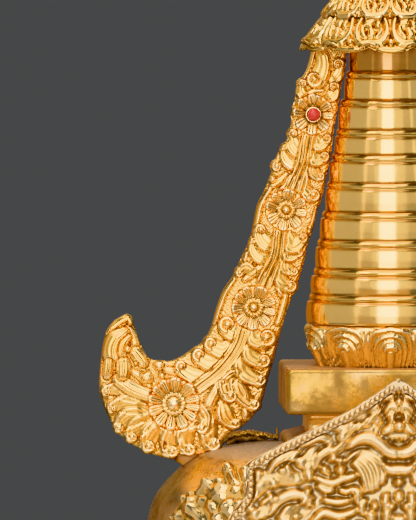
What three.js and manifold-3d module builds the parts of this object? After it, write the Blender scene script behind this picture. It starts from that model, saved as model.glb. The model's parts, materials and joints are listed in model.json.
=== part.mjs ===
// A gilt copper votive stupa: stepped throne, vase dome with a gabled niche front, square harmika,
// ringed spire, petal umbrella with moon, sun and jewel, and two scrolled side ribbons set with coral.
// Millimetres, +Z up, -Y is the front, origin at the centre of the underside.

import * as THREE from "three";
import { mergeVertices } from "three/addons/utils/BufferGeometryUtils.js";
import Module from "manifold-3d";

const wasm = await Module();
wasm.setup();

// Driving dimensions
const CONTACT_GAP = 0.3; // left between a piece and the curved surface that it was cut to fit
const BASE_HALF = 152;
const BASE_TOP = 20;
const WAIST_HALF = 120;
const WAIST_TOP = 66;
const CORNICE_HALF = 143;
const CORNICE_TOP = 84;
const STEP_COUNT = 4;
const STEP_HEIGHT = 15;
const STEP_HALF_FIRST = 130;
const STEP_INSET = 8;
const STEPS_TOP = CORNICE_TOP + STEP_COUNT * STEP_HEIGHT;
const DOME_LOTUS_HEIGHT = 14;
const DOME_FOOT = STEPS_TOP + DOME_LOTUS_HEIGHT;
const DOME_TOP = 300;
const HARMIKA_HALF = 41.6;
const HARMIKA_BOTTOM = DOME_TOP + 14.4;
const HARMIKA_TOP = DOME_TOP + 31.4;
const SPIRE_LOTUS_TOP = DOME_TOP + 48.4;
const UMBRELLA_RIM = DOME_TOP + 157.2;
const UMBRELLA_PLATE = DOME_TOP + 160.2;
const UMBRELLA_JOIN = DOME_TOP + 170.6;
const UMBRELLA_TOP = DOME_TOP + 187;
const CROWN_TOP = DOME_TOP + 198;
const PLATE_FRONT = 100; // how far the niche front stands before the axis
const PLATE_DEPTH = 3;
const GABLE_APEX = DOME_TOP + 31;
const RIBBON_DEPTH = 8;
const PETALS = 12;

// Materials
const gilt = new THREE.MeshStandardMaterial({ color: 0xe8b04a, roughness: 0.28, metalness: 1 });
const polishedGilt = new THREE.MeshStandardMaterial({ color: 0xefc36a, roughness: 0.14, metalness: 1 });
const dullGilt = new THREE.MeshStandardMaterial({ color: 0xb87a3c, roughness: 0.45, metalness: 1 });
const coral = new THREE.MeshStandardMaterial({ color: 0xb5232f, roughness: 0.3, metalness: 0 });

const stupa = new THREE.Group();

function place(name, geometry, material, parent = stupa) {
  const mesh = new THREE.Mesh(geometry, material);
  mesh.name = name;
  parent.add(mesh);
  return mesh;
}

// Conversions between three.js geometry and manifold solids
function solidOf(geometry) {
  const bare = new THREE.BufferGeometry().setAttribute("position", geometry.getAttribute("position"));
  if (geometry.index) bare.setIndex(geometry.index);
  const merged = mergeVertices(bare, 1e-3);
  const solid = new wasm.Manifold(
    new wasm.Mesh({
      numProp: 3,
      vertProperties: merged.attributes.position.array,
      triVerts: new Uint32Array(merged.index.array),
    }),
  );
  return solid;
}

function geometryOf(solid) {
  const mesh = solid.getMesh();
  const geometry = new THREE.BufferGeometry();
  geometry.setAttribute("position", new THREE.BufferAttribute(mesh.vertProperties, 3));
  geometry.setIndex(new THREE.BufferAttribute(mesh.triVerts, 1));
  return geometry;
}

// A round form: rows are [radius, height] pairs from the bottom up, closed on the axis.
function turned(rows, segments = 36) {
  const points = [[0, rows[0][1]], ...rows, [0, rows[rows.length - 1][1]]];
  const outline = points.map(([radius, height]) => new THREE.Vector2(radius, height));
  return new THREE.LatheGeometry(outline, segments).rotateX(Math.PI / 2);
}

// A square form: rows are [half width, height] pairs from the bottom up.
function squared(rows) {
  const corner = rows.map(([half, height]) => [half * Math.SQRT2, height]);
  return turned(corner, 4).rotateZ(Math.PI / 4);
}

// Moves each vertex of a round form along its radius and height by a function of its angle.
function reshape(geometry, change) {
  const position = geometry.getAttribute("position");
  for (let i = 0; i < position.count; i++) {
    const x = position.getX(i);
    const y = position.getY(i);
    const radius = Math.hypot(x, y);
    if (radius < 1e-6) continue;
    const [newRadius, newHeight] = change(Math.atan2(y, x), radius, position.getZ(i));
    position.setXYZ(i, (x / radius) * newRadius, (y / radius) * newRadius, newHeight);
  }
  return geometry;
}

// 1 along the middle of each petal and 0 between petals, with rounded shoulders.
function petalWave(angle, count) {
  return Math.sqrt(Math.abs(Math.cos((count * angle) / 2)));
}

// A flat form drawn in X and Z, extruded along Y and centred on y.
function upright(shape, depth, y = 0) {
  const options = { depth, bevelEnabled: false, curveSegments: 10 };
  return new THREE.ExtrudeGeometry(shape, options).rotateX(Math.PI / 2).translate(0, y + depth / 2, 0);
}

function outline(points) {
  return new THREE.Shape(points.map(([x, z]) => new THREE.Vector2(x, z)));
}

function box(width, depth, height, x, y, bottom) {
  return new THREE.BoxGeometry(width, depth, height).translate(x, y, bottom + height / 2);
}

// Throne: moulded base, recessed waist with corner posts and a panel on each face, and a cornice.
const POST = 12;
const PANEL_DEPTH = 3;

function makeThrone() {
  const base = [
    [BASE_HALF, 0],
    [BASE_HALF, 9],
    [BASE_HALF - 3, 11],
    [BASE_HALF - 8, 11],
    [BASE_HALF - 8, 13],
    [BASE_HALF - 15, 17],
    [BASE_HALF - 22, BASE_TOP],
  ];
  place("base_slab", squared(base), gilt);

  const waistHeight = WAIST_TOP - BASE_TOP;
  let waist = solidOf(box(2 * WAIST_HALF, 2 * WAIST_HALF, waistHeight, 0, 0, BASE_TOP));
  const postAt = WAIST_HALF - POST / 2 + PANEL_DEPTH + 1;
  for (const sx of [-1, 1]) {
    for (const sy of [-1, 1]) {
      waist = waist.add(solidOf(box(POST, POST, waistHeight, sx * postAt, sy * postAt, BASE_TOP)));
    }
  }
  place("throne_waist", geometryOf(waist), gilt);

  const panelWidth = 2 * (postAt - POST / 2) - 2 * CONTACT_GAP;
  const panelHeight = waistHeight - 2 * CONTACT_GAP;
  const faces = ["front", "right", "back", "left"];
  faces.forEach((face, i) => {
    const panel = outline([
      [-panelWidth / 2, 0],
      [panelWidth / 2, 0],
      [panelWidth / 2, panelHeight],
      [-panelWidth / 2, panelHeight],
    ]);
    const slab = upright(panel, PANEL_DEPTH).translate(
      0,
      -(WAIST_HALF + CONTACT_GAP + PANEL_DEPTH / 2),
      BASE_TOP + CONTACT_GAP,
    );
    const boss = new THREE.CylinderGeometry(10, 7, 2, 12);
    boss.translate(0, -(WAIST_HALF + CONTACT_GAP + PANEL_DEPTH + 0.8), BASE_TOP + waistHeight / 2);
    const joined = geometryOf(solidOf(slab).add(solidOf(boss)));
    const mesh = place(`throne_panel_${face}`, joined, gilt);
    mesh.rotation.z = (i * Math.PI) / 2;
  });

  const cornice = [
    [WAIST_HALF + 8, WAIST_TOP],
    [WAIST_HALF + 14, WAIST_TOP + 5],
    [CORNICE_HALF - 6, WAIST_TOP + 8],
    [CORNICE_HALF - 6, WAIST_TOP + 9.5],
    [CORNICE_HALF, WAIST_TOP + 9.5],
    [CORNICE_HALF, CORNICE_TOP],
  ];
  place("throne_cornice", squared(cornice), gilt);
}

// Four square steps, each with a projecting nosing.
function makeSteps() {
  for (let i = 0; i < STEP_COUNT; i++) {
    const half = STEP_HALF_FIRST - i * STEP_INSET;
    const bottom = CORNICE_TOP + i * STEP_HEIGHT;
    const rows = [
      [half, bottom],
      [half - 1.5, bottom + 3],
      [half - 1.5, bottom + STEP_HEIGHT - 4],
      [half, bottom + STEP_HEIGHT - 2.5],
      [half, bottom + STEP_HEIGHT],
    ];
    place(`step_${i + 1}`, squared(rows), gilt);
  }
}

// The dome's section from its foot to the neck of the harmika.
const DOME_ROWS = [
  [76, DOME_FOOT],
  [81.6, DOME_FOOT + 17],
  [87.4, DOME_FOOT + 38],
  [92.4, DOME_FOOT + 62],
  [96, DOME_FOOT + 87],
  [97, DOME_TOP - 38],
  [96.2, DOME_TOP - 29.6],
  [93.9, DOME_TOP - 22.6],
  [90.6, DOME_TOP - 17.6],
  [85.3, DOME_TOP - 12],
  [80, DOME_TOP - 7.4],
  [75.2, DOME_TOP - 4.4],
  [66, DOME_TOP - 1.8],
  [50, DOME_TOP],
];
const DOME_SEGMENTS = 40;

function domeSkin(offset) {
  const rows = DOME_ROWS.map(([radius, height]) => {
    const onTop = radius < 90 && height > 262;
    return [radius + offset, height + (onTop ? offset : 0)];
  });
  return solidOf(turned(rows, DOME_SEGMENTS));
}

const DOME_LOTUS_PETALS = 20;

function makeDome() {
  const lotusRows = [
    [81, STEPS_TOP],
    [83.5, STEPS_TOP + 4.5],
    [78, STEPS_TOP + 10.5],
    [78, DOME_FOOT],
  ];
  const lotus = reshape(turned(lotusRows, DOME_LOTUS_PETALS * 4), (angle, radius, height) => {
    const swell = height > STEPS_TOP + 1 && height < DOME_FOOT - 3.5 ? 1.6 : 0;
    return [radius - swell * (1 - petalWave(angle, DOME_LOTUS_PETALS)), height];
  });
  place("dome_lotus", lotus, gilt);
  place("dome", turned(DOME_ROWS, DOME_SEGMENTS), dullGilt);
}

// Foliage plates that hug the dome on both sides of the niche front.
const FOLIAGE_OUTLINE = [
  [-50, -0.6],
  [-57, 0.6],
  [-66, -1],
  [-74, -7],
  [-81.5, -16],
  [-87, -27],
  [-89.5, -42],
  [-87, -58],
  [-79, -70],
  [-67, -77],
  [-54, -79],
  [-46, -74],
];
const FOLIAGE_DEPTH = 3.2;
// Rolled leaf ends that stand out from the foliage: place in X and height above the dome.
const FOLIAGE_ROLLS = [
  [-64.5, -9.5],
  [-57, -19],
  [-73, -16],
  [-66, -27],
  [-79, -26],
  [-56, -36],
  [-73, -38],
  [-83, -41],
  [-63, -50],
  [-78, -56],
  [-66, -66],
];
const ROLL_RADIUS = 5.6;
const ROLL_SUNK = 0.3; // how far a roll's centre lies inside the dome

function domeRadiusAt(height) {
  const above = DOME_ROWS.findIndex(([, rowHeight]) => rowHeight > height);
  const [lowRadius, low] = DOME_ROWS[above - 1];
  const [highRadius, high] = DOME_ROWS[above];
  return lowRadius + ((highRadius - lowRadius) * (height - low)) / (high - low);
}

function makeFoliage() {
  const drawn = outline(FOLIAGE_OUTLINE.map(([x, z]) => [x, z + DOME_TOP]));
  const cutter = solidOf(upright(drawn, 120, -70));
  const skin = domeSkin(CONTACT_GAP + FOLIAGE_DEPTH).subtract(domeSkin(CONTACT_GAP));
  const behindPlate = solidOf(box(260, 120, 400, 0, 60 - PLATE_FRONT + PLATE_DEPTH + CONTACT_GAP, 0));
  const rolls = FOLIAGE_ROLLS.map(([x, z]) => {
    const radius = domeRadiusAt(z + DOME_TOP) - ROLL_SUNK;
    const y = -Math.sqrt(radius * radius - x * x);
    return wasm.Manifold.sphere(ROLL_RADIUS, 8).translate([x, y, z + DOME_TOP]);
  });
  const leaves = skin.intersect(cutter).add(wasm.Manifold.union(rolls));
  const plate = geometryOf(leaves.intersect(behindPlate).subtract(domeSkin(CONTACT_GAP)));
  place("foliage_left", plate, gilt);
  place("foliage_right", plate, gilt).scale.x = -1;
}

// Niche front: sill, two cheeks that run back to the dome, and a gabled plate with an arched opening.
const NICHE_HALF = 24;
const NICHE_SPRING = 206;
const SILL_TOP = DOME_FOOT + 4;
const CHEEK_TOP = 232;
// Raised forms of the gable's relief right of its middle line: the places along each in X and height
// above the dome, its half width and how far it stands out.
const GABLE_RIDGES = [
  { points: [[0, 25.6]], half: 3, rise: 2 }, // knot above the brow
  { points: [[0, 19.2], [4, 18]], half: 2.4, rise: 2.6 }, // brow
  { points: [[0, 11.4], [4.6, 10.2]], half: 2.8, rise: 2.7 }, // muzzle
  { points: [[1.8, 1.6], [6.5, 4.4], [12.5, 7.4], [19, 4.8]], half: 2.6, rise: 2.7 }, // arm
  { points: [[0, -5], [4.4, -4.2]], half: 2.4, rise: 2.6 }, // bowl
  { points: [[9, -1.5], [8, -11], [13, -11], [14, -1.5]], half: 2.4, rise: 1.9 }, // feathers
  { points: [[10, 17.6], [12.4, 12.6]], half: 2.6, rise: 2.2 },
  { points: [[23, 9]], half: 3.2, rise: 2.2 },
  { points: [[23.2, -3.4]], half: 3, rise: 2.4 }, // eye
  { points: [[18, -9.4], [25, -11.6], [32.6, -9]], half: 3, rise: 2.4 }, // jaws
  { points: [[25.4, 3.6], [31.6, 0.8], [33, -3.8]], half: 2.2, rise: 2.2 },
  { points: [[38.6, -2], [36, -8]], half: 3, rise: 2.3 },
  { points: [[41.6, 1.4], [48.8, -2], [54.6, -7]], half: 2.4, rise: 2.3 },
  { points: [[44, -6.4], [49.6, -10.4], [56, -15.6]], half: 2.8, rise: 2.3 },
  { points: [[35, -16.4], [42, -15.2], [49, -19], [56, -23]], half: 2.6, rise: 2.3 },
  { points: [[17.6, -19.6], [24, -21.8], [31, -20.6], [36, -24.4]], half: 2.6, rise: 2.3 },
  { points: [[5, -19]], half: 3.2, rise: 2 },
  { points: [[8, -38], [11, -52]], half: 3, rise: 2.2 },
  { points: [[21, -38], [25, -50]], half: 3, rise: 2.2 },
  { points: [[34, -36], [38, -50]], half: 3, rise: 2.2 },
  { points: [[46, -31], [50, -44]], half: 3, rise: 2.2 },
  { points: [[62, -28], [63, -42]], half: 3, rise: 2.2 },
];
const FIELD_INSET = 3;
const FIELD_RISE = 0.9; // how far the ground of the relief stands out from the plate's rim

// A rounded bar along a line on the front of the gable.
function ridge({ points, half, rise }) {
  const pads = points.map(([x, z]) =>
    wasm.Manifold.sphere(1, 8)
      .scale([half, rise, half])
      .translate([x, -PLATE_FRONT, z + DOME_TOP]),
  );
  if (pads.length === 1) return pads[0];
  return wasm.Manifold.union(pads.slice(1).map((pad, i) => wasm.Manifold.hull([pads[i], pad])));
}

// The gable's flat plate with its raised field and forms. edge is its outline in X and Z.
function relieved(plate, edge) {
  const through = solidOf(upright(plate, 4 * PLATE_DEPTH, -PLATE_FRONT));
  const rooted = PLATE_DEPTH / 2; // depth of the field inside the plate
  const field = new wasm.CrossSection([edge])
    .offset(-FIELD_INSET, "Miter")
    .extrude(FIELD_RISE + rooted)
    .rotate([90, 0, 0])
    .translate([0, rooted - PLATE_FRONT, 0])
    .intersect(through);
  const forms = wasm.Manifold.union(GABLE_RIDGES.map(ridge));
  return solidOf(upright(plate, PLATE_DEPTH, -PLATE_FRONT + PLATE_DEPTH / 2))
    .add(field)
    .add(forms)
    .add(forms.mirror([1, 0, 0]));
}

function makeNiche() {
  const dome = domeSkin(CONTACT_GAP);
  const lotusRing = solidOf(turned([[84, STEPS_TOP], [84, DOME_FOOT]], DOME_SEGMENTS));
  const sillDepth = 30;
  const sillFront = PLATE_FRONT + 4;
  const sill = solidOf(box(96, sillDepth, SILL_TOP - STEPS_TOP, 0, -sillFront + sillDepth / 2, STEPS_TOP))
    .subtract(lotusRing)
    .subtract(dome);
  place("niche_sill", geometryOf(sill), gilt);

  const cheekDepth = 30;
  const plateBack = -PLATE_FRONT + PLATE_DEPTH;
  const cheek = solidOf(
    box(5, cheekDepth, CHEEK_TOP - SILL_TOP, -NICHE_HALF - 3.5, plateBack + cheekDepth / 2, SILL_TOP),
  ).subtract(dome);
  const cheekShape = geometryOf(cheek);
  place("niche_cheek_left", cheekShape, gilt);
  place("niche_cheek_right", cheekShape, gilt).scale.x = -1;

  const halfOutline = [
    [40, SILL_TOP],
    [40, 226],
    [42, 236],
    [50, 243],
    [62, 248],
    [69, 257],
    [70, 268],
    [66, 278],
    [60.6, 284],
    [60.4, 297.6],
    [46, 305.2],
    [30, 313],
    [18.8, 318.9],
    [10.4, 324],
  ];
  const left = halfOutline.map(([x, z]) => [-x, z]).reverse();
  const edge = [...halfOutline, [0, GABLE_APEX], ...left];
  const plate = outline(edge);
  const arch = new THREE.Path();
  arch.moveTo(-NICHE_HALF, SILL_TOP + 4);
  arch.lineTo(-NICHE_HALF, NICHE_SPRING);
  arch.absarc(0, NICHE_SPRING, NICHE_HALF, Math.PI, 0, true);
  arch.lineTo(NICHE_HALF, SILL_TOP + 4);
  plate.holes.push(arch);
  place("gable_plate", geometryOf(relieved(plate, edge)), gilt);
}

// Harmika: a flared neck under a square block.
function makeHarmika() {
  const neck = [
    [40, DOME_TOP],
    [37, DOME_TOP + 1.5],
    [34.6, DOME_TOP + 5],
    [34, DOME_TOP + 9],
    [34.6, DOME_TOP + 11.5],
    [36.4, DOME_TOP + 12.6],
    [36.4, HARMIKA_BOTTOM],
  ];
  place("harmika_neck", squared(neck), gilt);
  const edge = 0.8;
  const block = [
    [HARMIKA_HALF - edge, HARMIKA_BOTTOM],
    [HARMIKA_HALF, HARMIKA_BOTTOM + edge],
    [HARMIKA_HALF, HARMIKA_TOP - edge],
    [HARMIKA_HALF - edge, HARMIKA_TOP],
  ];
  place("harmika_block", squared(block), gilt);
}

// Spire: a lotus foot and nine drums on collars. Each row is the drum's top radius, its widest
// radius and bottom radius, and the heights above the dome of its bottom, top and collar's top.
const RINGS = [
  { top: 32, middle: 32.6, bottom: 32.2, from: 48.4, to: 57, collar: 30.4, end: 60 },
  { top: 29.8, middle: 30.8, bottom: 30.4, from: 60, to: 67.2, collar: 28, end: 70.4 },
  { top: 28.4, middle: 28.7, bottom: 28.7, from: 70.4, to: 78.6, collar: 26.4, end: 81.8 },
  { top: 26.1, middle: 26.9, bottom: 27.1, from: 81.8, to: 90.2, collar: 24.2, end: 93 },
  { top: 24.1, middle: 24.6, bottom: 24.7, from: 93, to: 102.2, collar: 23.1, end: 104.8 },
  { top: 22, middle: 22.9, bottom: 23.2, from: 104.8, to: 113, collar: 21, end: 116 },
  { top: 20.4, middle: 20.9, bottom: 21.1, from: 116, to: 123, collar: 19.9, end: 126 },
  { top: 18.7, middle: 19.4, bottom: 19.7, from: 126, to: 135.2, collar: 17.5, end: 137.8 },
  { top: 16.6, middle: 17, bottom: 17.3, from: 137.8, to: 146.4, collar: 15.4, end: 149 },
];
const SPIRE_PETALS = 10;

function makeSpire() {
  const lotusRows = [
    [27.2, HARMIKA_TOP],
    [30, HARMIKA_TOP + 6],
    [31.8, HARMIKA_TOP + 12],
    [32.2, HARMIKA_TOP + 15],
    [31.4, SPIRE_LOTUS_TOP],
  ];
  const lotus = reshape(turned(lotusRows, SPIRE_PETALS * 6), (angle, radius, height) => {
    const turnedAngle = angle + Math.PI / 2;
    const swell = height < SPIRE_LOTUS_TOP - 1 ? 1.4 : 0;
    return [radius - swell * (1 - petalWave(turnedAngle, SPIRE_PETALS)), height];
  });
  place("spire_lotus", lotus, gilt);
  RINGS.forEach((ring, i) => {
    const bottom = DOME_TOP + ring.from;
    const top = DOME_TOP + ring.to;
    const rows = [
      [ring.bottom, bottom],
      [ring.middle, (bottom + top) / 2],
      [ring.top, top],
      [ring.collar, top],
      [ring.collar, DOME_TOP + ring.end],
    ];
    place(`ring_${i + 1}`, turned(rows), polishedGilt);
  });
  const neckRows = [
    [15.2, DOME_TOP + RINGS[RINGS.length - 1].end],
    [15.3, DOME_TOP + 156],
    [15.1, UMBRELLA_PLATE],
  ];
  place("spire_neck", turned(neckRows), polishedGilt);
}

// Umbrella: two rows of hanging petals over a recessed underside, and a lotus crown.
function makeUmbrella() {
  const skirt = new THREE.LatheGeometry(
    [
      [0, UMBRELLA_PLATE],
      [31.6, UMBRELLA_PLATE],
      [32.6, UMBRELLA_RIM],
      [34.6, UMBRELLA_RIM],
      [34.2, UMBRELLA_RIM + 2],
      [31, UMBRELLA_RIM + 5.4],
      [27.6, UMBRELLA_RIM + 10],
      [24.6, UMBRELLA_JOIN],
      [0, UMBRELLA_JOIN],
    ].map(([radius, height]) => new THREE.Vector2(radius, height)),
    PETALS * 6,
  ).rotateX(Math.PI / 2);
  const lower = reshape(skirt, (angle, radius, height) => {
    const between = 1 - petalWave(angle + Math.PI / 2, PETALS);
    const onRim = radius > 32 && height < UMBRELLA_RIM + 3;
    const onFace = height > UMBRELLA_RIM + 3 && height < UMBRELLA_JOIN - 1;
    return [radius - (onRim || onFace ? 1.6 * between : 0), height + (onRim ? 1.8 * between : 0)];
  });
  place("umbrella_lower", lower, gilt);

  const upperRows = [
    [24.4, UMBRELLA_JOIN],
    [25.8, UMBRELLA_JOIN + 1],
    [22.6, UMBRELLA_JOIN + 5],
    [19.6, UMBRELLA_JOIN + 8.6],
    [15, UMBRELLA_JOIN + 12.6],
    [9, UMBRELLA_TOP],
  ];
  const upper = reshape(turned(upperRows, PETALS * 4), (angle, radius, height) => {
    const between = 1 - petalWave(angle + Math.PI / 2 + Math.PI / PETALS, PETALS);
    const onFace = height > UMBRELLA_JOIN + 0.5 && radius > 16;
    return [radius - (onFace ? 1.4 * between : 0), height];
  });
  place("umbrella_upper", upper, gilt);

  const crownRows = [
    [8, UMBRELLA_TOP],
    [6.4, UMBRELLA_TOP + 1.6],
    [7.6, UMBRELLA_TOP + 3],
    [10.4, UMBRELLA_TOP + 5.4],
    [10.8, UMBRELLA_TOP + 7],
    [6.5, UMBRELLA_TOP + 8.4],
    [5, CROWN_TOP],
  ];
  place("umbrella_crown", turned(crownRows, 24), gilt);
}

// Finial: crescent moon, sun disc and jewel.
const MOON_RADIUS = 17;
const MOON_INNER = 15.4;
const SUN_RADIUS = 9.4;

function makeFinial() {
  const centre = CROWN_TOP + MOON_RADIUS + CONTACT_GAP;
  const lift = 6.2;
  const meet = (MOON_RADIUS ** 2 - MOON_INNER ** 2 + lift ** 2) / (2 * lift);
  const half = Math.sqrt(MOON_RADIUS ** 2 - meet ** 2);
  const outer = Math.atan2(meet, half);
  const inner = Math.atan2(meet - lift, half);
  const crescent = new THREE.Shape();
  crescent.absarc(0, centre, MOON_RADIUS, Math.PI - outer, outer, false);
  crescent.absarc(0, centre + lift, MOON_INNER, inner, Math.PI - inner, true);
  const foot = solidOf(turned([[4, CROWN_TOP], [4, CROWN_TOP + 3]], 16));
  place("moon", geometryOf(solidOf(upright(crescent, 5)).add(foot)), polishedGilt);

  const moonTop = centre + lift - MOON_INNER;
  const sun = new THREE.CylinderGeometry(SUN_RADIUS, SUN_RADIUS, 6, 32);
  sun.translate(0, 0, moonTop + SUN_RADIUS + CONTACT_GAP);
  place("sun", sun, polishedGilt);

  const jewelFoot = moonTop + 2 * SUN_RADIUS + 2 * CONTACT_GAP;
  const jewelRows = [
    [2.6, jewelFoot],
    [3.4, jewelFoot + 1.2],
    [6.4, jewelFoot + 4],
    [7.4, jewelFoot + 7.6],
    [6.4, jewelFoot + 11.4],
    [3.8, jewelFoot + 16],
    [1.5, jewelFoot + 20.4],
    [0.5, jewelFoot + 23.4],
  ];
  place("jewel", turned(jewelRows, 16), polishedGilt);
}

// Side ribbon: pairs of points on its upper or outer edge and on its spire or lower edge, as
// reach from the axis and height above the dome, from the umbrella down to the curled tip.
const RIBBON_STATIONS = [
  [29.6, 159.8, 15.8, 159.8],
  [32.4, 149.4, 17.0, 149.4],
  [36.0, 143.8, 18.6, 142.2],
  [37.2, 136.2, 19.4, 135.8],
  [38.4, 129.0, 20.8, 129.0],
  [40.2, 121.4, 22.0, 120.6],
  [43.6, 116.6, 22.8, 114.2],
  [46.4, 108.6, 24.2, 107.8],
  [49.2, 101.4, 26.2, 98.2],
  [52.0, 95.8, 28.4, 92.6],
  [53.4, 89.4, 29.6, 86.6],
  [55.2, 81.4, 31.8, 80.2],
  [58.4, 74.6, 33.2, 73.4],
  [61.6, 67.4, 35.2, 66.2],
  [65.6, 61.4, 37.6, 59.8],
  [68.4, 54.2, 40.0, 53.8],
  [70.4, 47.0, 42.2, 46.6],
  [73.6, 41.0, 44.0, 39.4],
  [78.0, 37.8, 46.0, 31.8],
  [82.8, 34.6, 48.0, 25.4],
  [86.8, 33.0, 50.8, 15.4],
  [90.4, 33.2, 56.4, 8.2],
  [93.6, 33.4, 63.6, 3.4],
  [95.4, 34.2, 70.0, -3.0],
  [96.8, 35.8, 78.8, -5.4],
  [98.0, 38.2, 88.8, -5.8],
  [99.2, 40.6, 98.8, -2.2],
  [100.2, 43.8, 106.8, 3.4],
  [101.2, 46.2, 112.4, 12.2],
  [101.8, 48.2, 115.2, 21.4],
  [102.0, 49.8, 115.0, 30.6],
  [102.4, 51.0, 113.8, 39.4],
  [103.4, 51.6, 112.4, 45.0],
  [104.6, 51.8, 109.2, 49.2],
];
const ROSETTES = [
  { reach: 29.6, height: 131.8, radius: 7.4 },
  { reach: 40.4, height: 93.6, radius: 8.2 },
  { reach: 53.6, height: 54.8, radius: 9 },
  { reach: 85.8, height: 15.4, radius: 10.6 },
];
const ROSETTE_RISE = 1.6;
const CORAL_RADIUS = 2.6;

function makeRibbons() {
  const upperEdge = RIBBON_STATIONS.map(([reach, height]) => [-reach, DOME_TOP + height]);
  const lowerEdge = RIBBON_STATIONS.map(([, , reach, height]) => [-reach, DOME_TOP + height]);
  const flat = outline([...upperEdge, ...lowerEdge.reverse()]);
  let ribbon = solidOf(upright(flat, RIBBON_DEPTH));
  for (const { reach, height, radius } of ROSETTES) {
    const boss = new THREE.CylinderGeometry(radius, radius, RIBBON_DEPTH + 2 * ROSETTE_RISE, 16);
    ribbon = ribbon.add(solidOf(boss.translate(-reach, 0, DOME_TOP + height)));
  }
  const lug = box(4, 5, 8, -80, 0, DOME_TOP - 9);
  ribbon = ribbon.add(solidOf(lug)).subtract(domeSkin(CONTACT_GAP));
  const shape = geometryOf(ribbon);

  const first = ROSETTES[0];
  const seat = RIBBON_DEPTH / 2 + ROSETTE_RISE;
  const bead = new THREE.LatheGeometry(
    [
      [0, 0],
      [CORAL_RADIUS, 0],
      [CORAL_RADIUS, 0.8],
      [CORAL_RADIUS * 0.8, 1.9],
      [CORAL_RADIUS * 0.4, 2.5],
      [0, 2.6],
    ].map(([radius, height]) => new THREE.Vector2(radius, height)),
    16,
  ).rotateX(Math.PI);
  bead.translate(-first.reach, -seat - CONTACT_GAP, DOME_TOP + first.height);

  const strapWidth = 8;
  const strapAt = 19;
  const arch = outline([
    [-66, 0.2],
    [-60, 2.6],
    [-54, 3.6],
    [-48, 2.4],
    [-42.6, 0.8],
    [-42.6, 0],
    [-43.4, -0.2],
    [-48, 1.5],
    [-54, 2.7],
    [-60, 1.7],
    [-65.4, -0.6],
  ].map(([x, z]) => [x, z + DOME_TOP]));
  const strap = geometryOf(solidOf(upright(arch, strapWidth, strapAt)).subtract(domeSkin(CONTACT_GAP)));

  for (const [side, scale] of [["left", 1], ["right", -1]]) {
    place(`ribbon_${side}`, shape, gilt).scale.x = scale;
    place(`coral_${side}`, bead, coral).scale.x = scale;
    place(`ribbon_strap_${side}`, strap, dullGilt).scale.x = scale;
  }
}

makeThrone();
makeSteps();
makeDome();
makeFoliage();
makeNiche();
makeHarmika();
makeSpire();
makeUmbrella();
makeFinial();
makeRibbons();

export default stupa;
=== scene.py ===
# A gilt copper votive stupa: chased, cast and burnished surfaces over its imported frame.
# Shapes are worked out in millimetres and turned into metres when a mesh is made.

import json
import math

import bpy
import numpy as np
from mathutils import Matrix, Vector


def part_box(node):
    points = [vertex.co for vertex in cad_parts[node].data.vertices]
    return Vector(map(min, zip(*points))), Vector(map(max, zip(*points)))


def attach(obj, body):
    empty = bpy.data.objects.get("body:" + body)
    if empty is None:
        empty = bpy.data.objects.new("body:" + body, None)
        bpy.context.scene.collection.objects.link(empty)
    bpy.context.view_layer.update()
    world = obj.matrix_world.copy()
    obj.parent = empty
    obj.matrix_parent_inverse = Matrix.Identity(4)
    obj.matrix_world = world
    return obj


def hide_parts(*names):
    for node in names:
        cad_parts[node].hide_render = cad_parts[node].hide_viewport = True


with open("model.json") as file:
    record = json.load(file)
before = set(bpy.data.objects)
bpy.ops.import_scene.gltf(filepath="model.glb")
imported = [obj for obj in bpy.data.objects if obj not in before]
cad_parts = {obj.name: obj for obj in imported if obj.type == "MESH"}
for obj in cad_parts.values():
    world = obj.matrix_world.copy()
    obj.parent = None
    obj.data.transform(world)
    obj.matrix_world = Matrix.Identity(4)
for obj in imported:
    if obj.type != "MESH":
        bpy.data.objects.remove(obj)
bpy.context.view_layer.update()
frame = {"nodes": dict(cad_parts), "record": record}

MM = 0.001


def cad_low(node):
    return np.array(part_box(node)[0]) / MM


def cad_high(node):
    return np.array(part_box(node)[1]) / MM


def cad_middle(node):
    return (cad_low(node) + cad_high(node)) / 2


DOME_TOP = cad_high("dome")[2]


# Camera, light and floor

# Azimuth from the front and elevation in degrees, and distance in metres.
VIEW = (-2.05, 2.6, 7.0)
VIEW_TARGET = Vector((-71.8 * MM, 0, (DOME_TOP + 73.4) * MM))
LENS = 1210.0
BACKDROP = (0.101, 0.103, 0.104)
FLOOR_RADIUS = 0.6
FLOOR_LEVEL = -0.0004
FLOOR_SIDES = 96
LIGHT_TARGET = Vector((0, 0, 0.38))
NEUTRAL = (1.0, 1.0, 1.0)
COOL = (0.82, 0.98, 1.36)
WARM = (1.08, 0.98, 0.90)
AMBER = (1.15, 0.68, 0.32)
# Softboxes round the object: azimuth, elevation and distance as for the view, width and height in
# metres, radiance in watts per square metre and steradian, and colour.
SOFTBOXES = {
    "front_wall": (6, 9, 3.9, 11.5, 2.4, 0.55, WARM),
    "front_middle": (4, 9, 3.8, 4.6, 2.3, 0.22, NEUTRAL),
    "front_strip": (-2, 9, 3.7, 1.8, 2.3, 3.6, COOL),
    "front_high": (-4, 52, 3.2, 3.6, 2.3, 1.30, COOL),
    "key": (-44, 38, 2.9, 0.8, 0.8, 9.0, NEUTRAL),
    "left": (-82, 6, 3.0, 4.6, 2.8, 0.46, WARM),
    "left_back": (-142, 2, 3.0, 4.4, 1.5, 0.28, AMBER),
    "right": (92, 8, 3.0, 4.4, 2.6, 0.46, NEUTRAL),
    "top": (10, 84, 2.3, 2.0, 2.0, 3.6, NEUTRAL),
    "back": (176, 20, 3.3, 3.4, 2.0, 0.40, NEUTRAL),
    "low": (-10, -24, 3.0, 5.0, 1.3, 0.48, AMBER),
    "left_back_high": (-132, 46, 2.9, 3.0, 1.5, 0.80, WARM),
}


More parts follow.
